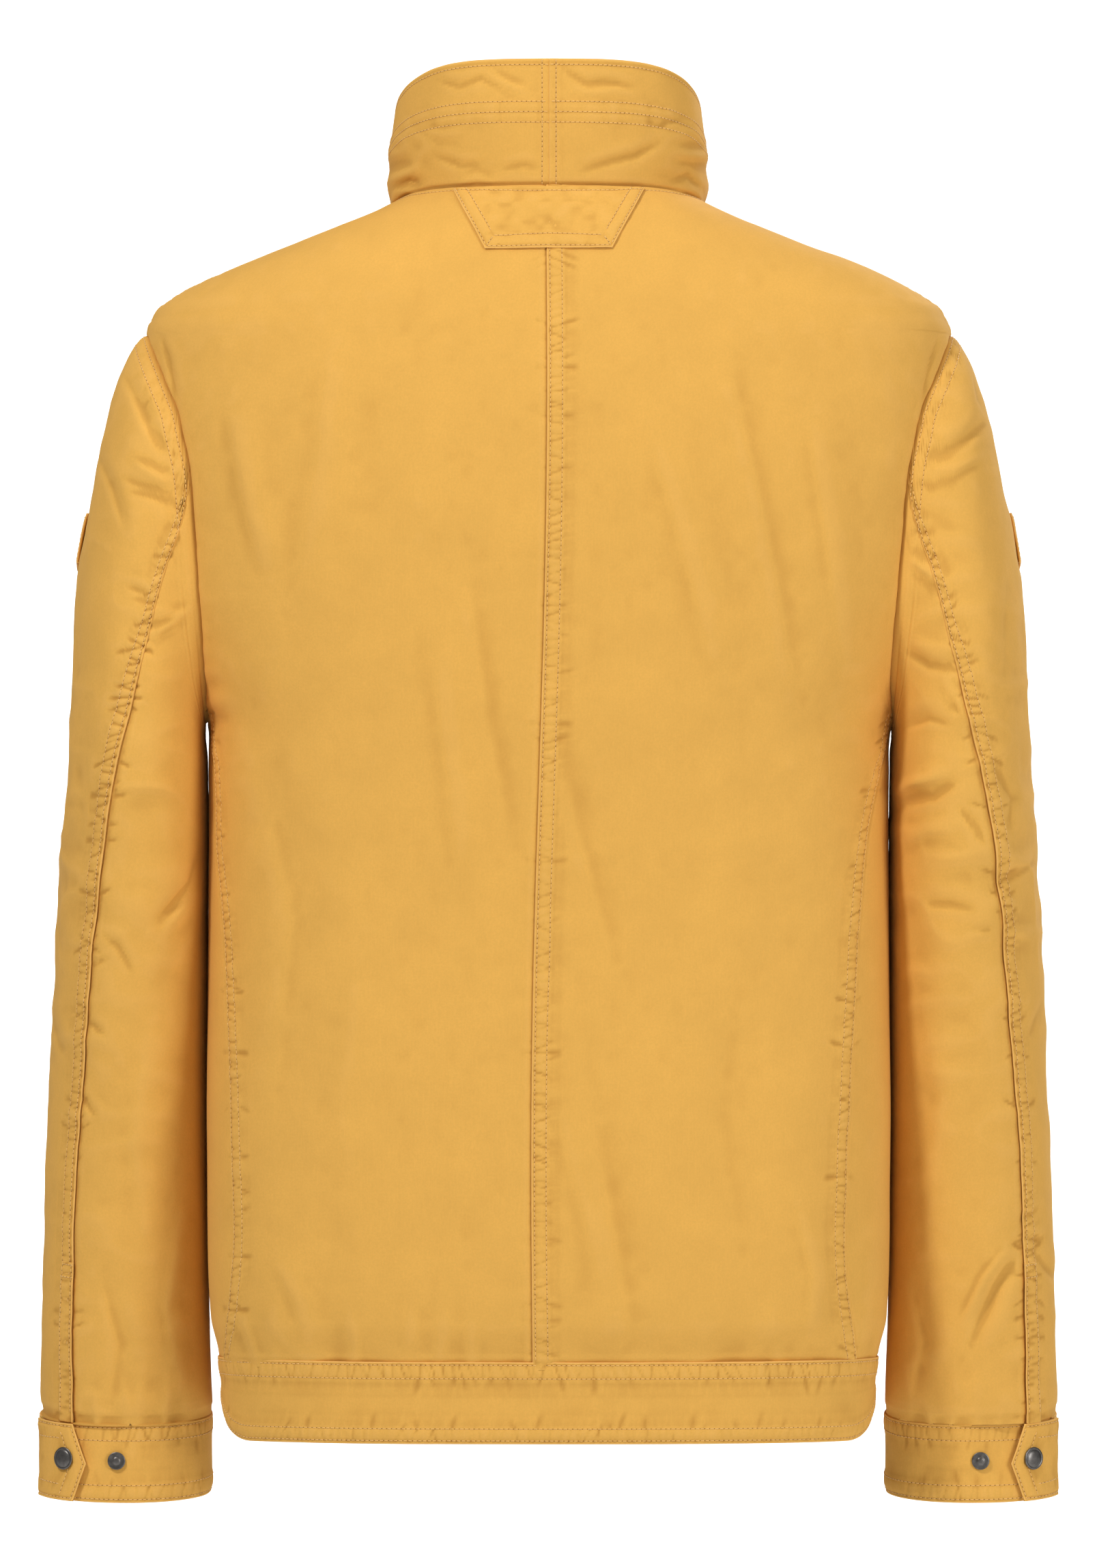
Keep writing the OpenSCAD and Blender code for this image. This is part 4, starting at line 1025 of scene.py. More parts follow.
def sleeve_panel(side, upper):
    """The upper or the under sleeve, with rows at its top that run in under the body's armhole edge."""
    reach = 0 if upper else UNDER
    ends = lambda t: (curve(t, SLEEVE_SEAM) - seam_turn(t, reach),
                      UNDER_SEAM - 360 if upper else UNDER_SEAM + seam_turn(t, reach))
    g = Panel(sleeve_at, SLEEVE_ROWS, ends, NEAR, NEAR if upper else PLAIN, 2.3, side, SLEEVE_CENTRE)
    g.r0, along = arm_distance(g.p, side)
    ladder = 1.3 * (1 + 0.9 * bell(g.z, -172, 30))
    arm_pk = pucker(along, g.r0, 83 + side, width=8.2, strength=1.1) * (g.r0 < 30) * upper
    h = sleeve_relief(g.p, g.n, side) * (0.25 + 0.75 * ease(g.r0 / 12)) + arm_pk
    h = h + 0.4 * (1 - ease((g.r0 - 8.6) / 2.2)) + under(g.r1) * 0.8
    h = h - 0.35 * sum(bell(g.r0, row, 0.85) for row in ARM_ROWS)
    # tone: painted shade at the armhole seam where the sleeve runs in under the body's edge, and in the puckers'
    # grooves; below, painted highlight on the lapped edge and painted shade on the under layer beside it
    tone = arm_pk - 0.7 * bell(g.r0, 0, 2.2)
    if upper:
        pk = ladder * pucker(g.z, g.s0, 80 + side)
        h, tone = h + lap(g.s0) + pk + lap(g.s1, lift=0.6), tone + over_tone(g.s0) + pk
    else:
        pk = ladder * covered(g.z, g.s0, 80 + side, 1.0)
        h, tone = h + under(g.s0) + under(g.s1) + pk, tone - 0.7 * under_tone(g.s0, 1.8) + pk
    angles = np.linspace(*ends(0), 400)
    at_loop = np.interp(g.s0[0], run_along(sleeve_at(0.0, angles)), angles)
    hidden = []
    for mm, depth in HIDDEN_ROWS:
        q, m = (mirrored(v, side) for v in arm_under(at_loop, mm, depth))
        hidden.append(q + m * body_relief(q, m)[:, None])
    m = mirrored(arm_under(at_loop, 0, 0)[1], side)
    sink = (1 - ease(g.r0 / 2))[..., None]
    sunk = m * (body_relief(g.p[0], m) - 2.4)[:, None]
    g.p = np.concatenate([hidden, g.p + g.n * h[..., None] * (1 - sink) + sink * sunk])
    g.n = outward_normals(g.p, g.centre)
    before = np.cumsum(np.linalg.norm(np.diff(g.p[:4], axis=0), axis=-1)[::-1], 0)[::-1]
    g.r0 = np.concatenate([-before, g.r0])
    g.s0, g.s1, tone = (np.concatenate([v[:1]] * 3 + [v]) for v in (g.s0, g.s1, tone))
    if upper:
        g.sew(SLEEVE_STITCHES[side], "r0", *ARM_ROWS)
        g.sew(SLEEVE_STITCHES[side], "s0", 2.7, SECOND_ROW, ends=(8, -4))
        g.sew(SLEEVE_STITCHES[side], "s1", 2.2, ends=(8, -4))
    return g.shell("sleeve_upper_" if upper else "sleeve_under_", tone)


def sleeve_placket(side):
    run = levels(np.interp(VENT_TOP, SLEEVE_STATION, SLEEVE_RUN), SLEEVE_RUN[-1], NEAR, PLAIN, 2.0)
    ends = lambda t: (curve(t, SLEEVE_SEAM) + seam_turn(t, 0.6), curve(t, SLEEVE_SEAM) - seam_turn(t, 12))
    g = Panel(sleeve_at, np.interp(run, SLEEVE_RUN, SLEEVE_STATION), ends, NEAR[:8], NEAR[:8], 2,
              side, SLEEVE_CENTRE)
    pk = pucker(g.z, g.s0, 91 + side, strength=1.1)
    edge = g.near("s0", "r0")
    h = sleeve_relief(g.p, g.n, side) + 1.0 + lap(edge, 30, 0.35) + pk - 1.2 * (1 - ease((g.s1 - 0.2) / 2.0))
    g.lift(h)
    st = SLEEVE_STITCHES[side]
    g.sew(st, "s0", 1.6, ends=(1, -3))
    g.sew(st, "s1", 2.4, ends=(1, -3))
    g.sew(st, "r0", 1.4, 8.5, pitch=2.3, length=1.8)
    # tone: painted highlight on the folded edge, painted shade in its stitch groove and puckers
    return g.shell("placket_", over_tone(edge) + pk)


TAB_ROOT, TAB_CORNER, TAB_TIP, CAP_ANGLE, FREE_STUD_ANGLE = 18, 57, 67, 50, 86
Z_CUFF = -SLEEVE_DROP + 0.54 * CUFF_HEIGHT


def cuff(side):
    rows, ends = levels(-SLEEVE_DROP, CUFF_TOP, NEAR, NEAR, 2.2), lambda z: (TAB_ROOT - 3, TAB_ROOT + 356)
    g = Panel(cuff_at, rows, ends, NEAR[:6], NEAR[:6], 1.2, side, CUFF_CENTRE, 500)
    # tone: painted highlight on the folded edges and painted shade in the stitch grooves and puckers
    h, tone = band_edges(g, 101 + side, 9.8, 9.0, 0.55)
    beside_tab = ease((g.s0 - 60) / 10)
    h = h * (0.3 + 0.7 * beside_tab) - 0.9 * (1 - beside_tab) * ease(1 - (g.s0 - 55) / 12)
    g.lift(h + 0.7 * noise(g.p * [1, 1, 0.6], 26, 104) + 0.25 * noise(g.p, 9, 105) - 0.9 * bell(g.r0, 0, 3))
    g.sew(CUFF_STITCHES[side], "r1", FIRST_ROW, 9.0)
    g.sew(CUFF_STITCHES[side], "r0", 2.0, 9.8)
    return g.shell("cuff_", tone, 2.0)


def dimple(g, place_, depth):
    """Cloth drawn in round a snap."""
    return depth * bell(np.linalg.norm(g.p - mirrored(place_, g.side), axis=-1), 0, 8)


def sew_round(g, stitches, row, cut, inner_cut):
    """Rows of stitches round a tab's or flap's three free edges, each stopping short of its neighbour."""
    g.sew(stitches, "r1", row, ends=(0, -cut))
    g.sew(stitches, "r0", row, ends=(0, -cut))
    g.sew(stitches, "s1", row, ends=(inner_cut, -inner_cut))


def cuff_tab(side):
    def surface(h, a):
        return cuff_at(-SLEEVE_DROP + (CUFF_TOP - 0.4 + SLEEVE_DROP) * h, a)
    rows = levels(0, 1, NEAR / 43.6, NEAR / 43.6, 1.8 / 43.6)
    tip = lambda h: np.interp(h, [0, 0.5, 1], [TAB_CORNER, TAB_TIP, TAB_CORNER])
    g = Panel(surface, rows, lambda h: (TAB_ROOT, tip(h)), NEAR[:6], NEAR, 1.8, side, CUFF_CENTRE)
    near = g.near("r0", "r1", "s1")
    h = 2.75 + lap(near, 9.4, 0.4) + 0.3 * noise(g.p, 9, 111) + 0.2 * noise(g.p, 4, 112)
    h = h + 0.7 * (pucker(g.s0, g.r1, 113, strength=0.9) + pucker(g.s0, g.r0, 114, strength=0.9))
    g.lift(h - dimple(g, cuff_at(Z_CUFF, CAP_ANGLE), 0.5))
    sew_round(g, TAB_STITCHES[side], 1.7, 2, 3)
    sew_round(g, TAB_STITCHES[side], 9.4, 12, 12)
    # tone: painted highlight on the folded edges and painted shade in the stitch grooves
    return g.shell("cuff_tab_", 1.1 * over_tone(near), 1.4)


# ---- The pocket flap on the upper sleeve ----
FLAP_TOP, FLAP_LOW, FLAP_POINT, FLAP_FROM, FLAP_TO = 2.3, 2.85, 3.01, 0, -64
FLAP_SNAP = (2.78, -32)


def sleeve_flap(side):
    def surface(a, s):
        u = (a - FLAP_FROM) / (FLAP_TO - FLAP_FROM)
        low = FLAP_LOW + (FLAP_POINT - FLAP_LOW) * (1 - abs(2 * u - 1))
        return sleeve_at(FLAP_TOP + (low - FLAP_TOP) * s, a)
    rows = levels(FLAP_FROM, FLAP_TO, NEAR * 0.85, NEAR * 0.85, 1.9)
    g = Panel(surface, rows, lambda a: (0.0, 1.0), NEAR[:6], NEAR, 1.8, side, SLEEVE_CENTRE)
    near = g.near("r0", "r1", "s1")
    h = 2.2 + lap(near, 8.8, 0.4) + 0.35 * noise(g.p, 12, 121) - 0.6 * bell(g.s0, 0, 2.5)
    h = h + 0.5 * sleeve_relief(g.p, g.n, side) * bell(g.s0, 0, 12)
    g.lift(h - dimple(g, sleeve_at(*FLAP_SNAP), 0.4))
    sew_round(g, FLAP_STITCHES[side], 1.7, 2, 2)
    sew_round(g, FLAP_STITCHES[side], 8.8, 11, 11)
    g.sew(FLAP_STITCHES[side], "s0", 2.5)
    # tone: painted highlight on the folded edges and painted shade in the stitch grooves
    return g.shell("sleeve_flap_", 1.1 * over_tone(near), 1.4)


# ---- Pockets ----
def pocket_welt(side):
    def ends(z):
        edge = curve(z, FRONT_SEAM) - WELT_EDGE
        return edge, edge - WELT_WIDTH
    rows = levels(MOUTH_LOW - 6, MOUTH_TOP + 6, PLAIN, PLAIN, 2.4)
    g = Panel(lambda z, x: body_at(z, -angle_of_x(z, x)), rows, ends, NEAR[:8], PLAIN, 2.2, side)
    g.lift(body_relief(g.p, g.n) - 0.9 + 0.5 * lap(g.s0, 3.4, 0.3) + 0.3 * noise(g.p, 9, 131))
    # tone: painted highlight on the welt's folded edge and painted shade in its stitch groove
    return g.shell("pocket_welt_", over_tone(g.s0))


BAG_LOW, BAG_TOP, BAG_REACH, BAG_BACK, BAG_FULL = -628, MOUTH_TOP + 14, 92, 12, 14


def pocket_bag(side):
    def surface(v, u):
        z = BAG_LOW + (BAG_TOP - BAG_LOW) * v
        x = curve(z, FRONT_SEAM) + BAG_BACK * (1 - u) - BAG_REACH * u
        return body_at(z + 0 * u, -angle_of_x(z, x))
    rows = np.linspace(0, 1, 80)
    g = Panel(surface, rows, lambda v: (0.0, 1.0), PLAIN, PLAIN, 2.6, side)
    g.lift(body_relief(g.p, g.n) - 3.9 + 0.5 * noise(g.p, 17, 141))
    fullness = np.sin(np.pi * g.s0 / (g.s0 + g.s1)) * np.sin(np.pi * rows)[:, None]
    g.p[..., 1] += BAG_FULL * np.maximum(fullness, 0) ** 0.4
    g.n = outward_normals(g.p, BODY_CENTRE)
    return g.shell("pocket_bag_", thickness=0.6)


# ---- Zip: its tapes, teeth, stops and box ----
ZIP_LENGTH = (COLLAR_FRONT + BODY_DROP - 6) / math.cos(LEAN)
ZIP_OUT = np.array([0, -math.cos(LEAN), math.sin(LEAN)])


def on_zip(p):
    """Points of the zip's own frame: Z runs up the zip line and -Y is the outside."""
    q = np.asarray(p, float) + [0, 1.1, 0]
    return np.stack([q[..., 0], q[..., 1] * math.cos(LEAN) + q[..., 2] * math.sin(LEAN),
                     -q[..., 1] * math.sin(LEAN) + q[..., 2] * math.cos(LEAN)], -1) + ZIP_TOP


def rounded_box(x0, x1, y0, y1, z0, z1, r):
    """Vertices and quads of a box with chamfered upright edges and rims."""
    verts, faces = [], []
    for inset, z in ((r, z0), (0, z0 + r), (0, z1 - r), (r, z1)):
        a, b, c, d = x0 + inset, x1 - inset, y0 + inset, y1 - inset
        verts += [(a + r, c, z), (b - r, c, z), (b, c + r, z), (b, d - r, z),
                  (b - r, d, z), (a + r, d, z), (a, d - r, z), (a, c + r, z)]
    for k in range(3):
        for i in range(8):
            j = (i + 1) % 8
            faces.append((8 * k + i, 8 * k + j, 8 * k + 8 + j, 8 * k + 8 + i))
    for k, turned in ((0, True), (24, False)):
        cap = [(k, k + 1, k + 2, k + 3), (k, k + 3, k + 4, k + 7), (k + 7, k + 4, k + 5, k + 6)]
        faces += [f[::-1] if turned else f for f in cap]
    return np.array(verts, float), np.array(faces)


def zip_boxes(name, boxes, side=1):
    """One mesh of rounded boxes, given in the zip's own frame for the left side."""
    parts = [rounded_box(*box) for box in boxes]
    verts = on_zip(np.concatenate([v for v, _ in parts])) * [side, 1, 1]
    faces = np.concatenate([f + k * len(parts[0][0]) for k, (_, f) in enumerate(parts)])
    return mesh_object(name, verts, faces if side > 0 else faces[:, ::-1], smooth=False)


TOOTH_PITCH = 2.9


def zip_teeth(side):
    boxes = []
    for z in np.arange(-ZIP_LENGTH + 13.5, -10.5, TOOTH_PITCH) + (TOOTH_PITCH / 2 if side > 0 else 0):
        boxes += [(0.55, 3.6, 0.15, 2.1, z - 0.7, z + 0.7, 0.18),
                  (-0.35, 1.2, 0.5, 1.8, z - 0.45, z + 0.45, 0.18)]
    return zip_boxes("zip_teeth_" + SIDE_NAME[side], boxes, side)


def zip_tape(side):
    z = np.linspace(-ZIP_LENGTH, -4, 220)
    x = np.array([2.4, 2.9, 3.5, 4.4, 6, 9, 12, 14.5, 16])
    lift = np.array([0.35, 0.1, 0.0, 0.25, 0.5, 0.6, 0.6, 0.6, 0.6])
    p = np.stack(np.broadcast_arrays(x[None], 1.0 + lift[None], z[:, None]), -1).astype(float)
    p[..., 1] += 0.1 * np.sin(z * 2.2)[:, None] * (x < 4)[None]
    p = mirrored(on_zip(p), side)
    n = np.broadcast_to(ZIP_OUT, p.shape)
    return shell("zip_tape_" + SIDE_NAME[side], p, n, 0.65)


# ---- Snaps: turned profiles (radius, height) on the cuff or the sleeve ----
def lathe(name, profile, place, normal, steps=64):
    """A turned shape standing on a place along its normal."""
    profile = np.asarray(profile, float)
    local = np.concatenate([circle(steps)[None] * profile[:, :1, None],
                            np.broadcast_to(profile[:, 1:, None], (len(profile), steps, 1))], -1)
    z = unit(np.asarray(normal, float))
    x = unit(np.cross([0, 0.3, 1], z))
    y = np.cross(z, x)
    v = (local @ np.array([x, y, z]) + place).reshape(-1, 3)
    i = np.arange(steps)
    faces = [np.stack([k * steps + i, k * steps + (i + 1) % steps, (k + 1) * steps + (i + 1) % steps,
                       (k + 1) * steps + i], -1) for k in range(len(profile) - 1)]
    return mesh_object(name, v, np.concatenate(faces))


CAP = [(0.05, -1.3), (1.35, -1.3), (1.4, 0.0), (6.0, 0.0), (6.25, 0.12), (6.35, 0.38), (6.25, 0.66),
       (5.95, 0.84),
       (5.55, 0.88), (5.3, 0.82), (5.05, 0.72), (4.85, 0.78), (4.6, 0.98), (4.1, 1.2), (3.3, 1.42), (2.3, 1.58),
       (1.2, 1.68), (0.5, 1.71), (0.05, 1.72)]
SOCKET = [(2.3, 1.0), (2.3, 0.1), (2.5, 0.0), (4.7, 0.0), (4.95, 0.15), (5.0, 0.5), (4.9, 0.85), (4.5, 1.0),
          (3.6, 0.95), (2.9, 1.02), (2.3, 1.0)]
STUD = [(0.05, 0.0), (4.7, 0.0), (4.98, 0.15), (5.0, 0.35), (4.85, 0.52), (4.4, 0.55), (3.2, 0.42), (2.35, 0.42),
        (2.05, 0.5), (1.8, 0.62), (1.72, 0.85), (1.9, 1.05), (1.88, 1.2), (1.6, 1.32), (1.0, 1.38), (0.05, 1.4)]


def cuff_normal(angle):
    d = cuff_at(0, angle + 0.5) - cuff_at(0, angle - 0.5)
    return np.array([d[1], -d[0], 0]) / math.hypot(d[0], d[1])


def sleeve_normal(t, a):
    n = np.cross(sleeve_at(t, a + 1) - sleeve_at(t, a - 1), sleeve_at(t + 0.02, a) - sleeve_at(t - 0.02, a))
    return -unit(n)


def snap_part(name, profile, base, normal, lift, side):
    return lathe(name, profile, mirrored(base + lift * normal, side), mirrored(normal, side))


# ---- Materials ----
def new_material(name):
    material = bpy.data.materials.new(name)
    material.use_nodes = True
    tree = material.node_tree
    return material, tree, tree.nodes["Principled BSDF"]


def node(tree, kind, **inputs):
    made = tree.nodes.new(kind)
    for key, value in inputs.items():
        socket = made.inputs[key.replace("_", " ")]
        if hasattr(value, "bl_idname") or isinstance(value, bpy.types.NodeSocket):
            tree.links.new(value, socket)
        else:
            socket.default_value = value
    return made


def scale_of(tree, value, factor):
    made = node(tree, "ShaderNodeMath")
    made.operation = "MULTIPLY"
    tree.links.new(value, made.inputs[0])
    made.inputs[1].default_value = factor
    return made.outputs[0]


def blend_colour(tree, factor, a, b):
    made = tree.nodes.new("ShaderNodeMix")
    made.data_type = "RGBA"
    for socket, value in ((made.inputs[0], factor), (made.inputs[6], a), (made.inputs[7], b)):
        if isinstance(value, bpy.types.NodeSocket):
            tree.links.new(value, socket)
        elif socket is made.inputs[0]:
            socket.default_value = value
        else:
            socket.default_value = (*value, 1)
    return made.outputs[2]


def ramp(tree, value, low, high):
    return node(tree, "ShaderNodeMapRange", Value=value, From_Min=low, From_Max=high).outputs["Result"]


def scaled(colour, factor, lift=0.0):
    return tuple(min(1, c * factor + lift) for c in colour)


def place_and_tone(tree):
    """The place on the piece, in metres, and the tone that its mesh carries: mostly painted highlight and shade.
    """
    tone = tree.nodes.new("ShaderNodeAttribute")
    tone.attribute_name = "tone"
    return tree.nodes.new("ShaderNodeTexCoord").outputs["Object"], tone.outputs["Fac"]


def cotton(name, base, weave=0.00045, sheen=0.06, mottle=0.022):
    """A plain-woven cotton: threads both ways, slubs, faint mottling, and the mesh's tone painted on: paler
    edges and ridges (painted highlight, partly wear) and painted shade in creases, grooves and under lapped
    edges.
    """
    material, tree, bsdf = new_material(name)
    place, tone = place_and_tone(tree)
    woven = node(tree, "ShaderNodeMath")
    woven.operation = "ADD"
    for k, direction in enumerate("XZ"):
        wave = node(tree, "ShaderNodeTexWave", Vector=place, Scale=math.pi / 10 / weave,
                    Distortion=1.2, Detail=1.0, Detail_Scale=1.5)
        wave.bands_direction = direction
        tree.links.new(wave.outputs["Fac"], woven.inputs[k])
    fine = node(tree, "ShaderNodeTexNoise", Vector=place, Scale=900.0, Detail=3.0)
    slub_place = node(tree, "ShaderNodeMapping", Vector=place, Scale=(2600, 2600, 120))
    slub = node(tree, "ShaderNodeTexNoise", Vector=slub_place.outputs[0], Scale=1.0, Detail=2.0)
    cloud = node(tree, "ShaderNodeTexNoise", Vector=place, Scale=38.0, Detail=4.0, Roughness=0.6)
    colour = blend_colour(tree, ramp(tree, cloud.outputs["Fac"], 0.3, 0.7),
                          scaled(base, 1 - mottle * 2.2), scaled(base, 1 + mottle))
    colour = blend_colour(tree, scale_of(tree, ramp(tree, fine.outputs["Fac"], 0.35, 0.65), 0.35), colour,
                          scaled(base, 0.86))
    colour = blend_colour(tree, scale_of(tree, ramp(tree, slub.outputs["Fac"], 0.5, 0.75), 0.25), colour,
                          scaled(base, 1.12))
    # Tone above zero mixes in a paler colour: painted highlight on edges and ridges, partly wear. Tone below
    # zero mixes in the deep colour: painted shade in creases, stitch grooves, puckers and under lapped edges, in
    # creases partly the dye of the wash.
    highlight_and_wear, deep = scaled(base, 1.06, 0.05), (base[0] * 0.62, base[1] * 0.52, base[2] * 0.42)
    colour = blend_colour(tree, ramp(tree, tone, 0.1, 1.4), colour, highlight_and_wear)
    colour = blend_colour(tree, ramp(tree, tone, -0.05, -1.5), colour, deep)
    tree.links.new(colour, bsdf.inputs["Base Color"])
    rough = node(tree, "ShaderNodeMapRange", Value=fine.outputs["Fac"], To_Min=0.8, To_Max=0.95)
    tree.links.new(rough.outputs["Result"], bsdf.inputs["Roughness"])
    bsdf.inputs["Specular IOR Level"].default_value = 0.12
    bsdf.inputs["Sheen Weight"].default_value = sheen
    bsdf.inputs["Sheen Roughness"].default_value = 0.55
    bsdf.inputs["Sheen Tint"].default_value = (1, 0.86, 0.55, 1)
    weave_bump = node(tree, "ShaderNodeBump", Height=woven.outputs[0], Strength=0.25, Distance=0.00006)
    fine_bump = node(tree, "ShaderNodeBump", Height=fine.outputs["Fac"], Normal=weave_bump.outputs[0],
                     Strength=0.3, Distance=0.00012)
    crease = node(tree, "ShaderNodeTexNoise", Vector=place, Scale=120.0, Detail=3.0)
    crease_bump = node(tree, "ShaderNodeBump", Height=crease.outputs["Fac"], Normal=fine_bump.outputs[0],
                       Strength=0.25, Distance=0.0012)
    tree.links.new(crease_bump.outputs[0], bsdf.inputs["Normal"])
    return material


def metal(name, base, rough=0.32, wear=0.15):
    """A plated metal with fine scratches and dull patches."""
    material, tree, bsdf = new_material(name)
    place = tree.nodes.new("ShaderNodeTexCoord").outputs["Object"]
    patch = node(tree, "ShaderNodeTexNoise", Vector=place, Scale=420.0, Detail=4.0)
    scratch_place = node(tree, "ShaderNodeMapping", Vector=place, Scale=(6000, 700, 700))
    scratch = node(tree, "ShaderNodeTexNoise", Vector=scratch_place.outputs[0], Scale=1.0, Detail=2.0)
    colour = blend_colour(tree, ramp(tree, patch.outputs["Fac"], 0.35, 0.75), base, scaled(base, 1.35, 0.03))
    tree.links.new(colour, bsdf.inputs["Base Color"])
    bsdf.inputs["Metallic"].default_value = 1
    level = node(tree, "ShaderNodeMapRange", Value=patch.outputs["Fac"], To_Min=rough, To_Max=rough + wear)
    tree.links.new(level.outputs["Result"], bsdf.inputs["Roughness"])
    bump = node(tree, "ShaderNodeBump", Height=scratch.outputs["Fac"], Strength=0.2, Distance=0.00005)
    tree.links.new(bump.outputs[0], bsdf.inputs["Normal"])
    return material


# The colour of the painted shade in the gaps between stitches.
SHADE_DOT_COLOUR = (0.26, 0.105, 0.012)


def thread_material(name, base):
    """Sewing thread with its ply showing, and painted shade on the dark dots between stitches."""
    material, tree, bsdf = new_material(name)
    place, tone = place_and_tone(tree)
    ply = node(tree, "ShaderNodeTexWave", Vector=place, Scale=900.0, Distortion=2.0)
    ply.bands_direction = "DIAGONAL"
    colour = blend_colour(tree, ply.outputs["Fac"], scaled(base, 0.9), base)
    colour = blend_colour(tree, ramp(tree, tone, -0.2, -0.9), colour, SHADE_DOT_COLOUR)
    tree.links.new(colour, bsdf.inputs["Base Color"])
    bsdf.inputs["Roughness"].default_value = 0.6
    bsdf.inputs["Sheen Weight"].default_value = 0.3
    bump = node(tree, "ShaderNodeBump", Height=ply.outputs["Fac"], Strength=0.4, Distance=0.00008)
    tree.links.new(bump.outputs[0], bsdf.inputs["Normal"])
    return material


SHELL = cotton("mustard cotton", (0.78, 0.42, 0.087))
POCKETING = cotton("pocket cotton", (0.72, 0.66, 0.52), weave=0.0005, sheen=0.15)
FACING = cotton("facing twill", (0.74, 0.40, 0.085), weave=0.0006, sheen=0.15)
TAPE = cotton("zip tape", (0.72, 0.38, 0.08), weave=0.0007, sheen=0.1)
THREAD_FINISH = thread_material("mustard thread", (0.87, 0.52, 0.14))
ZIP_METAL = metal("zip gunmetal", (0.16, 0.15, 0.14), 0.32)
SNAP_METAL = metal("snap gunmetal", (0.14, 0.13, 0.12), 0.3)


# ---- Building and placing the pieces ----
# The flat cut of each cloth piece, worked back from its finished area: width and length in metres, the share of
# that rectangle that the cut fills, how it is held, and what it lies on or hangs from (* is left or right).
CUTS = {
    "back_panel": (0.26, 0.665, 0.84, "draped", "neck_facing"),
    "front_panel": (0.235, 0.65, 0.7, "draped", "neck_facing"),
    "side_panel": (0.2, 0.41, 0.89, "draped", "back_panel_*"),
    "sleeve_upper": (0.215, 0.625, 0.81, "draped", "back_panel_*"),
    "sleeve_under": (0.175, 0.56, 0.85, "draped", "side_panel_*"),
    "sleeve_placket": (0.014, 0.092, 0.92, "laid", "sleeve_under_*"),
    "sleeve_flap": (0.055, 0.06, 0.72, "laid", "sleeve_upper_*"),
    "cuff": (0.045, 0.29, 1, "draped", "sleeve_upper_*"),
    "cuff_tab": (0.035, 0.055, 0.84, "laid", "cuff_*"),
    "hem_band": (0.046, 1.02, 1, "draped", "back_panel_left"),
    "collar_outer": (0.083, 0.245, 0.92, "draped", "collar_inner"),
    "collar_inner": (0.08, 0.45, 0.93, "draped", "neck_facing"),
    "neck_tab": (0.036, 0.109, 0.95, "laid", "back_panel_left"),
    "neck_facing": (0.1, 0.36, 0.94, "laid", "back_panel_left"),
    "hanger_loop": (0.01, 0.062, 1, "hung", "neck_facing"),
    "pocket_welt": (0.0245, 0.162, 1, "laid", "front_panel_*"),
    "pocket_bag": (0.126, 0.19, 0.99, "laid", "front_panel_*"),
    "zip_tape": (0.0145, 0.71, 1, "hung", "front_panel_*"),
}


def dress(obj, material, slot):
    obj.data.materials.clear()
    obj.data.materials.append(material)
    return obj


def stand_in(obj, nodes):
    """The piece takes the place of its CAD nodes, which are hidden; a cloth piece's flat cut is looked up but
    not used.
    """
    if nodes:
        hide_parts(*nodes)
        kind = nodes[0].removesuffix("_left").removesuffix("_right")
        if kind in CUTS:
            width, length, share, held, on = CUTS[kind]
            on = on.replace("_*", nodes[0][len(kind):])
    return obj


def place(obj, body, nodes=(), material=SHELL, slot=SHELL_SLOT):
    """A piece that rides one body."""
    dress(obj, material, slot)
    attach(obj, body)
    return stand_in(obj, nodes)


BLEND_FROM, BLEND_TO = 0.2366, 0.2636   # metres along the sleeve's axis


def on_arm(obj, side, nodes=(), material=SHELL, slot=SHELL_SLOT):
    """A piece that is sewn to the body at the armhole; its transform is baked in, and the span along the
    sleeve's axis where it would blend is worked out but not used.
    """
    dress(obj, material, slot)
    start, end = (tuple(mirrored(SLEEVE_AXIS, side) * reach) for reach in (BLEND_FROM, BLEND_TO))
    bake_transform(obj)
    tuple(start)
    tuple(end)
    return stand_in(obj, nodes)


def flap_blend(obj, side, nodes=(), material=SHELL, slot=SHELL_SLOT):
    """A piece that is sewn to the sleeve along its top; its transform is baked in, and the points on the sleeve
    where it would blend are worked out but not used.
    """
    dress(obj, material, slot)
    top = mirrored(sleeve_at(FLAP_TOP, FLAP_SNAP[1]), side) * MM
    low = mirrored(sleeve_at(FLAP_TOP + 0.22, FLAP_SNAP[1]), side) * MM
    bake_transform(obj)
    return stand_in(obj, nodes)


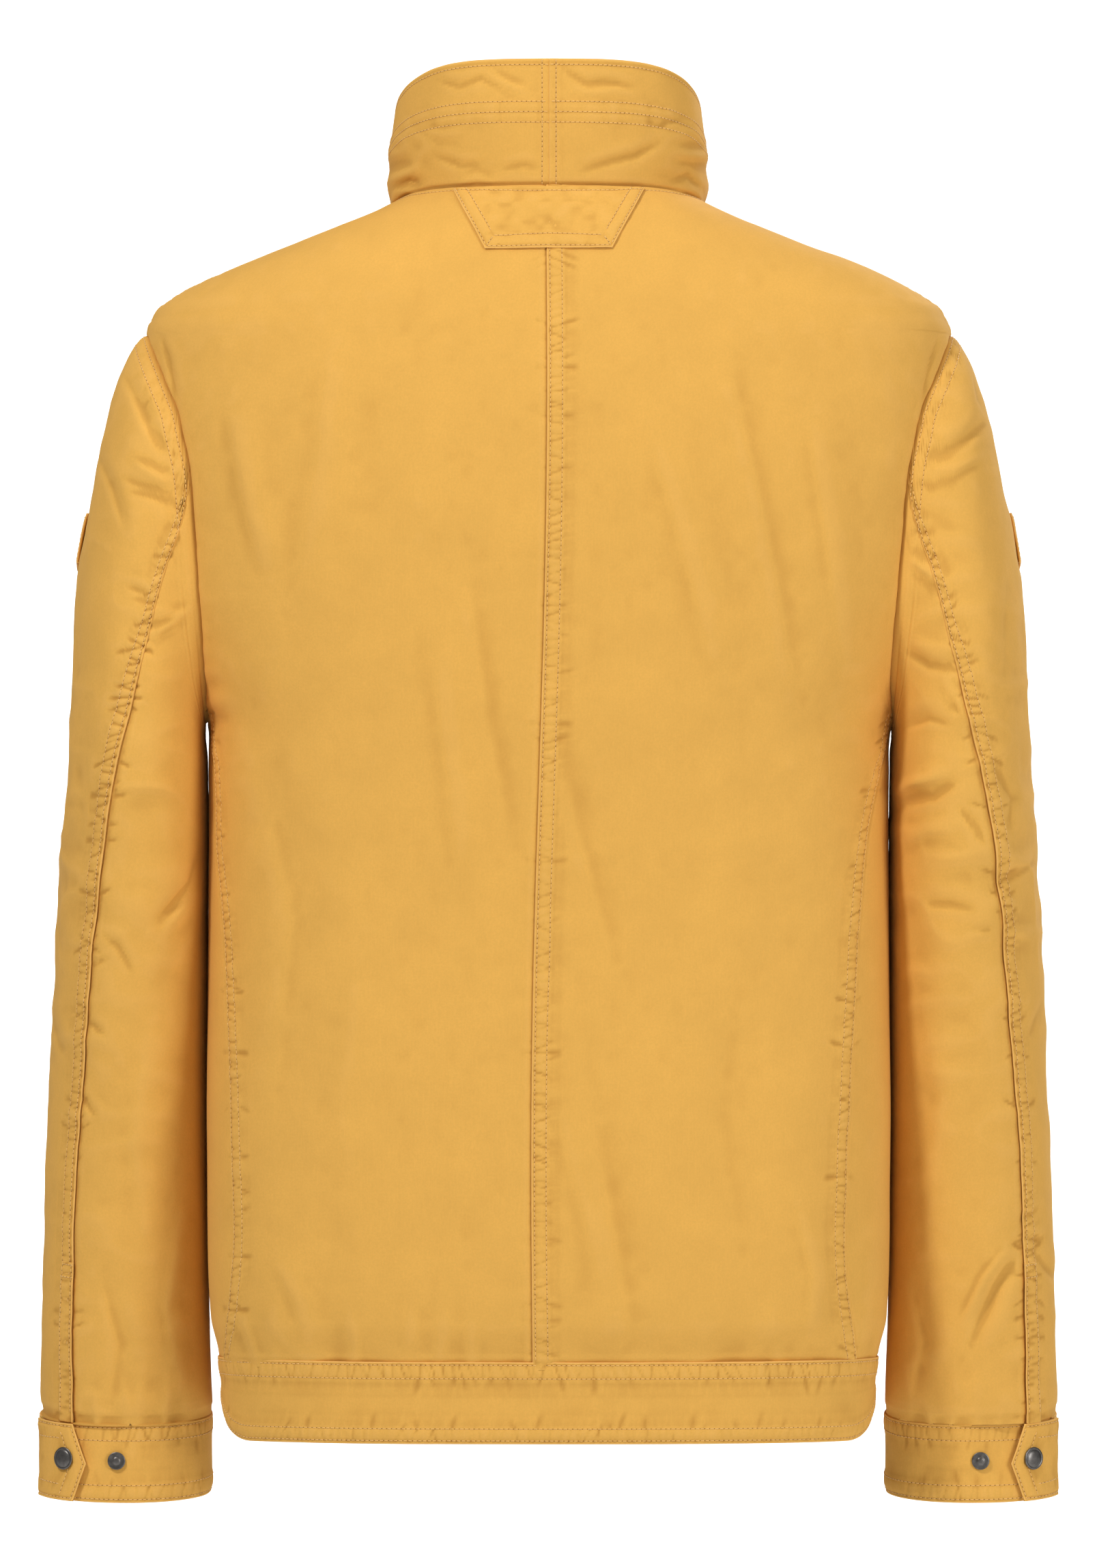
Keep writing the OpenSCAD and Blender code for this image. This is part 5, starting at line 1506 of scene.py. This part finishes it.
for side in (1, -1):
    name = SIDE_NAME[side]
    sleeve, tab, flap = "sleeve_" + name, "cuff_tab_body_" + name, "flap_body_" + name
    for make in (back_panel, front_panel, side_panel, collar_outer, pocket_welt):
        place(make(side), "torso", [make.__name__ + "_" + name])
    place(pocket_bag(side), "torso", ["pocket_bag_" + name], POCKETING, POCKET_SLOT)
    place(zip_tape(side), "torso", ["zip_tape_" + name], TAPE, TAPE_SLOT)
    place(zip_teeth(side), "torso", ["zip_teeth_" + name], ZIP_METAL, ZIP_SLOT)
    on_arm(sleeve_panel(side, True), side, ["sleeve_upper_" + name])
    on_arm(sleeve_panel(side, False), side, ["sleeve_under_" + name])
    for make, body in ((sleeve_placket, sleeve), (cuff, sleeve), (cuff_tab, tab)):
        place(make(side), body, [make.__name__ + "_" + name])
    flap_blend(sleeve_flap(side), side, ["sleeve_flap_" + name])

    cuff_base, cuff_out = cuff_at(Z_CUFF, CAP_ANGLE), cuff_normal(CAP_ANGLE)
    free_base, free_out = cuff_at(Z_CUFF, FREE_STUD_ANGLE), cuff_normal(FREE_STUD_ANGLE)
    arm_base, arm_out = sleeve_at(*FLAP_SNAP), sleeve_normal(*FLAP_SNAP)
    for label, profile, base, out, lift, body, nodes in (
            ("cuff_cap_", CAP, cuff_base, cuff_out, 3.3, tab, ["cuff_cap_" + name]),
            ("cuff_socket_", SOCKET, cuff_base, cuff_out, 0.75, tab, ["cuff_socket_" + name]),
            ("cuff_stud_", STUD, cuff_base, cuff_out, 0.05, sleeve, ["cuff_studs_" + name]),
            ("cuff_free_stud_", STUD, free_base, free_out, 0.35, sleeve, []),
            ("flap_cap_", CAP, arm_base, arm_out, 3.35, flap, ["flap_cap_" + name]),
            ("flap_socket_", SOCKET, arm_base, arm_out, 0.75, flap, ["flap_socket_" + name]),
            ("flap_stud_", STUD, arm_base, arm_out, 0.05, sleeve, ["flap_stud_" + name])):
        place(snap_part(label + name, profile, base, out, lift, side), body, nodes, SNAP_METAL, SNAP_SLOT)

    on_arm(SLEEVE_STITCHES[side].build("sleeve_stitching_" + name), side, material=THREAD_FINISH)
    place(CUFF_STITCHES[side].build("cuff_stitching_" + name), sleeve, material=THREAD_FINISH)
    place(TAB_STITCHES[side].build("cuff_tab_stitching_" + name), tab, material=THREAD_FINISH)
    flap_blend(FLAP_STITCHES[side].build("flap_stitching_" + name), side, material=THREAD_FINISH)

for make in (hem_band, collar_inner, neck_tab):
    place(make(), "torso", [make.__name__])
place(neck_facing(), "torso", ["neck_facing"], FACING, FACING_SLOT)
place(hanger_loop(), "torso", ["hanger_loop"], FACING, FACING_SLOT)
place(BODY_STITCHES.build("body_stitching"), "torso", material=THREAD_FINISH)
place(zip_boxes("zip_top_stops", [(0.6, 3.5, 0, 2.2, -8.6, -5, 0.3), (-3.5, -0.6, 0, 2.2, -8.6, -5, 0.3)]),
      "torso", ["zip_top_stops"], ZIP_METAL, ZIP_SLOT)
place(zip_boxes("zip_box", [(-3.5, 3.5, -0.4, 2.6, -ZIP_LENGTH, -ZIP_LENGTH + 11, 0.5)]),
      "torso", ["zip_box"], ZIP_METAL, ZIP_SLOT)
for name in ("zip_slider", "zip_pull"):
    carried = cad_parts[name]
    carried.data.materials.clear()
    carried.data.materials.append(ZIP_METAL)


# ---- Stage, light and camera, in metres ----
FLOOR_Z, WALL_Y, SWEEP_RADIUS, SWEEP_HALF, WALL_TOP = -1.6, -16.0, 2.2, 16, 9.0


def stage_sweep():
    """A pale floor that curves up into the backdrop."""
    profile = [(SWEEP_HALF, FLOOR_Z)]
    for a in np.linspace(0, math.pi / 2, 14):
        profile.append((WALL_Y + SWEEP_RADIUS * (1 - math.sin(a)), FLOOR_Z + SWEEP_RADIUS * (1 - math.cos(a))))
    profile.append((WALL_Y, WALL_TOP))
    verts = [(x / MM, y / MM, z / MM) for y, z in profile for x in (-SWEEP_HALF, SWEEP_HALF)]
    faces = [(2 * k, 2 * k + 1, 2 * k + 3, 2 * k + 2) for k in range(len(profile) - 1)]
    sweep = mesh_object("backdrop", verts, faces)
    material, _, bsdf = new_material("pale backdrop")
    bsdf.inputs["Base Color"].default_value = (0.93, 0.93, 0.93, 1)
    bsdf.inputs["Roughness"].default_value = 0.9
    sweep.data.materials.append(material)


def area_light(name, at, target, size, energy):
    light = bpy.data.lights.new(name, "AREA")
    light.shape, light.size, light.energy = "DISK", size, energy
    obj = bpy.data.objects.new(name, light)
    bpy.context.scene.collection.objects.link(obj)
    obj.location = at
    direction = np.subtract(target, at)
    obj.rotation_euler = (math.acos(-direction[2] / np.linalg.norm(direction)), 0,
                          math.atan2(direction[1], direction[0]) - math.pi / 2)


stage_sweep()
area_light("key", (1.9, 2.3, 2.6), (0, 0, -0.35), 0.55, 100)
area_light("fill", (-2.8, 3.0, 0.1), (0, 0, -0.45), 1.6, 64)
area_light("front", (-1.6, -3.2, 1.4), (0, 0, -0.35), 1.4, 60)
area_light("top", (-0.4, 0.5, 2.4), (0, 0, -0.3), 1.4, 14)
for side in (1, -1):
    area_light("backdrop_light", (side * 3.0, -13.0, 2.1), (side * 0.5, -15.9, -0.42), 1.9, 175)
world = bpy.data.worlds.new("studio")
bpy.context.scene.world = world
world.use_nodes = True
world.node_tree.nodes["Background"].inputs[0].default_value = (1, 1, 1, 1)
world.node_tree.nodes["Background"].inputs[1].default_value = 0.24
bpy.context.scene.view_settings.view_transform = "Standard"

DISTANCE, FRAME_HEIGHT, SENSOR = 8.0, 0.8725, 36
camera_data = bpy.data.cameras.new("camera")
camera_data.sensor_fit = "VERTICAL"
camera_data.sensor_height = SENSOR
camera_data.lens = SENSOR * DISTANCE / FRAME_HEIGHT
camera_data.clip_end = 50
camera = bpy.data.objects.new("camera", camera_data)
bpy.context.scene.collection.objects.link(camera)
camera.location = (0, DISTANCE + 0.02, -0.3256)
camera.rotation_euler = (math.pi / 2, 0, math.pi)
bpy.context.scene.camera = camera
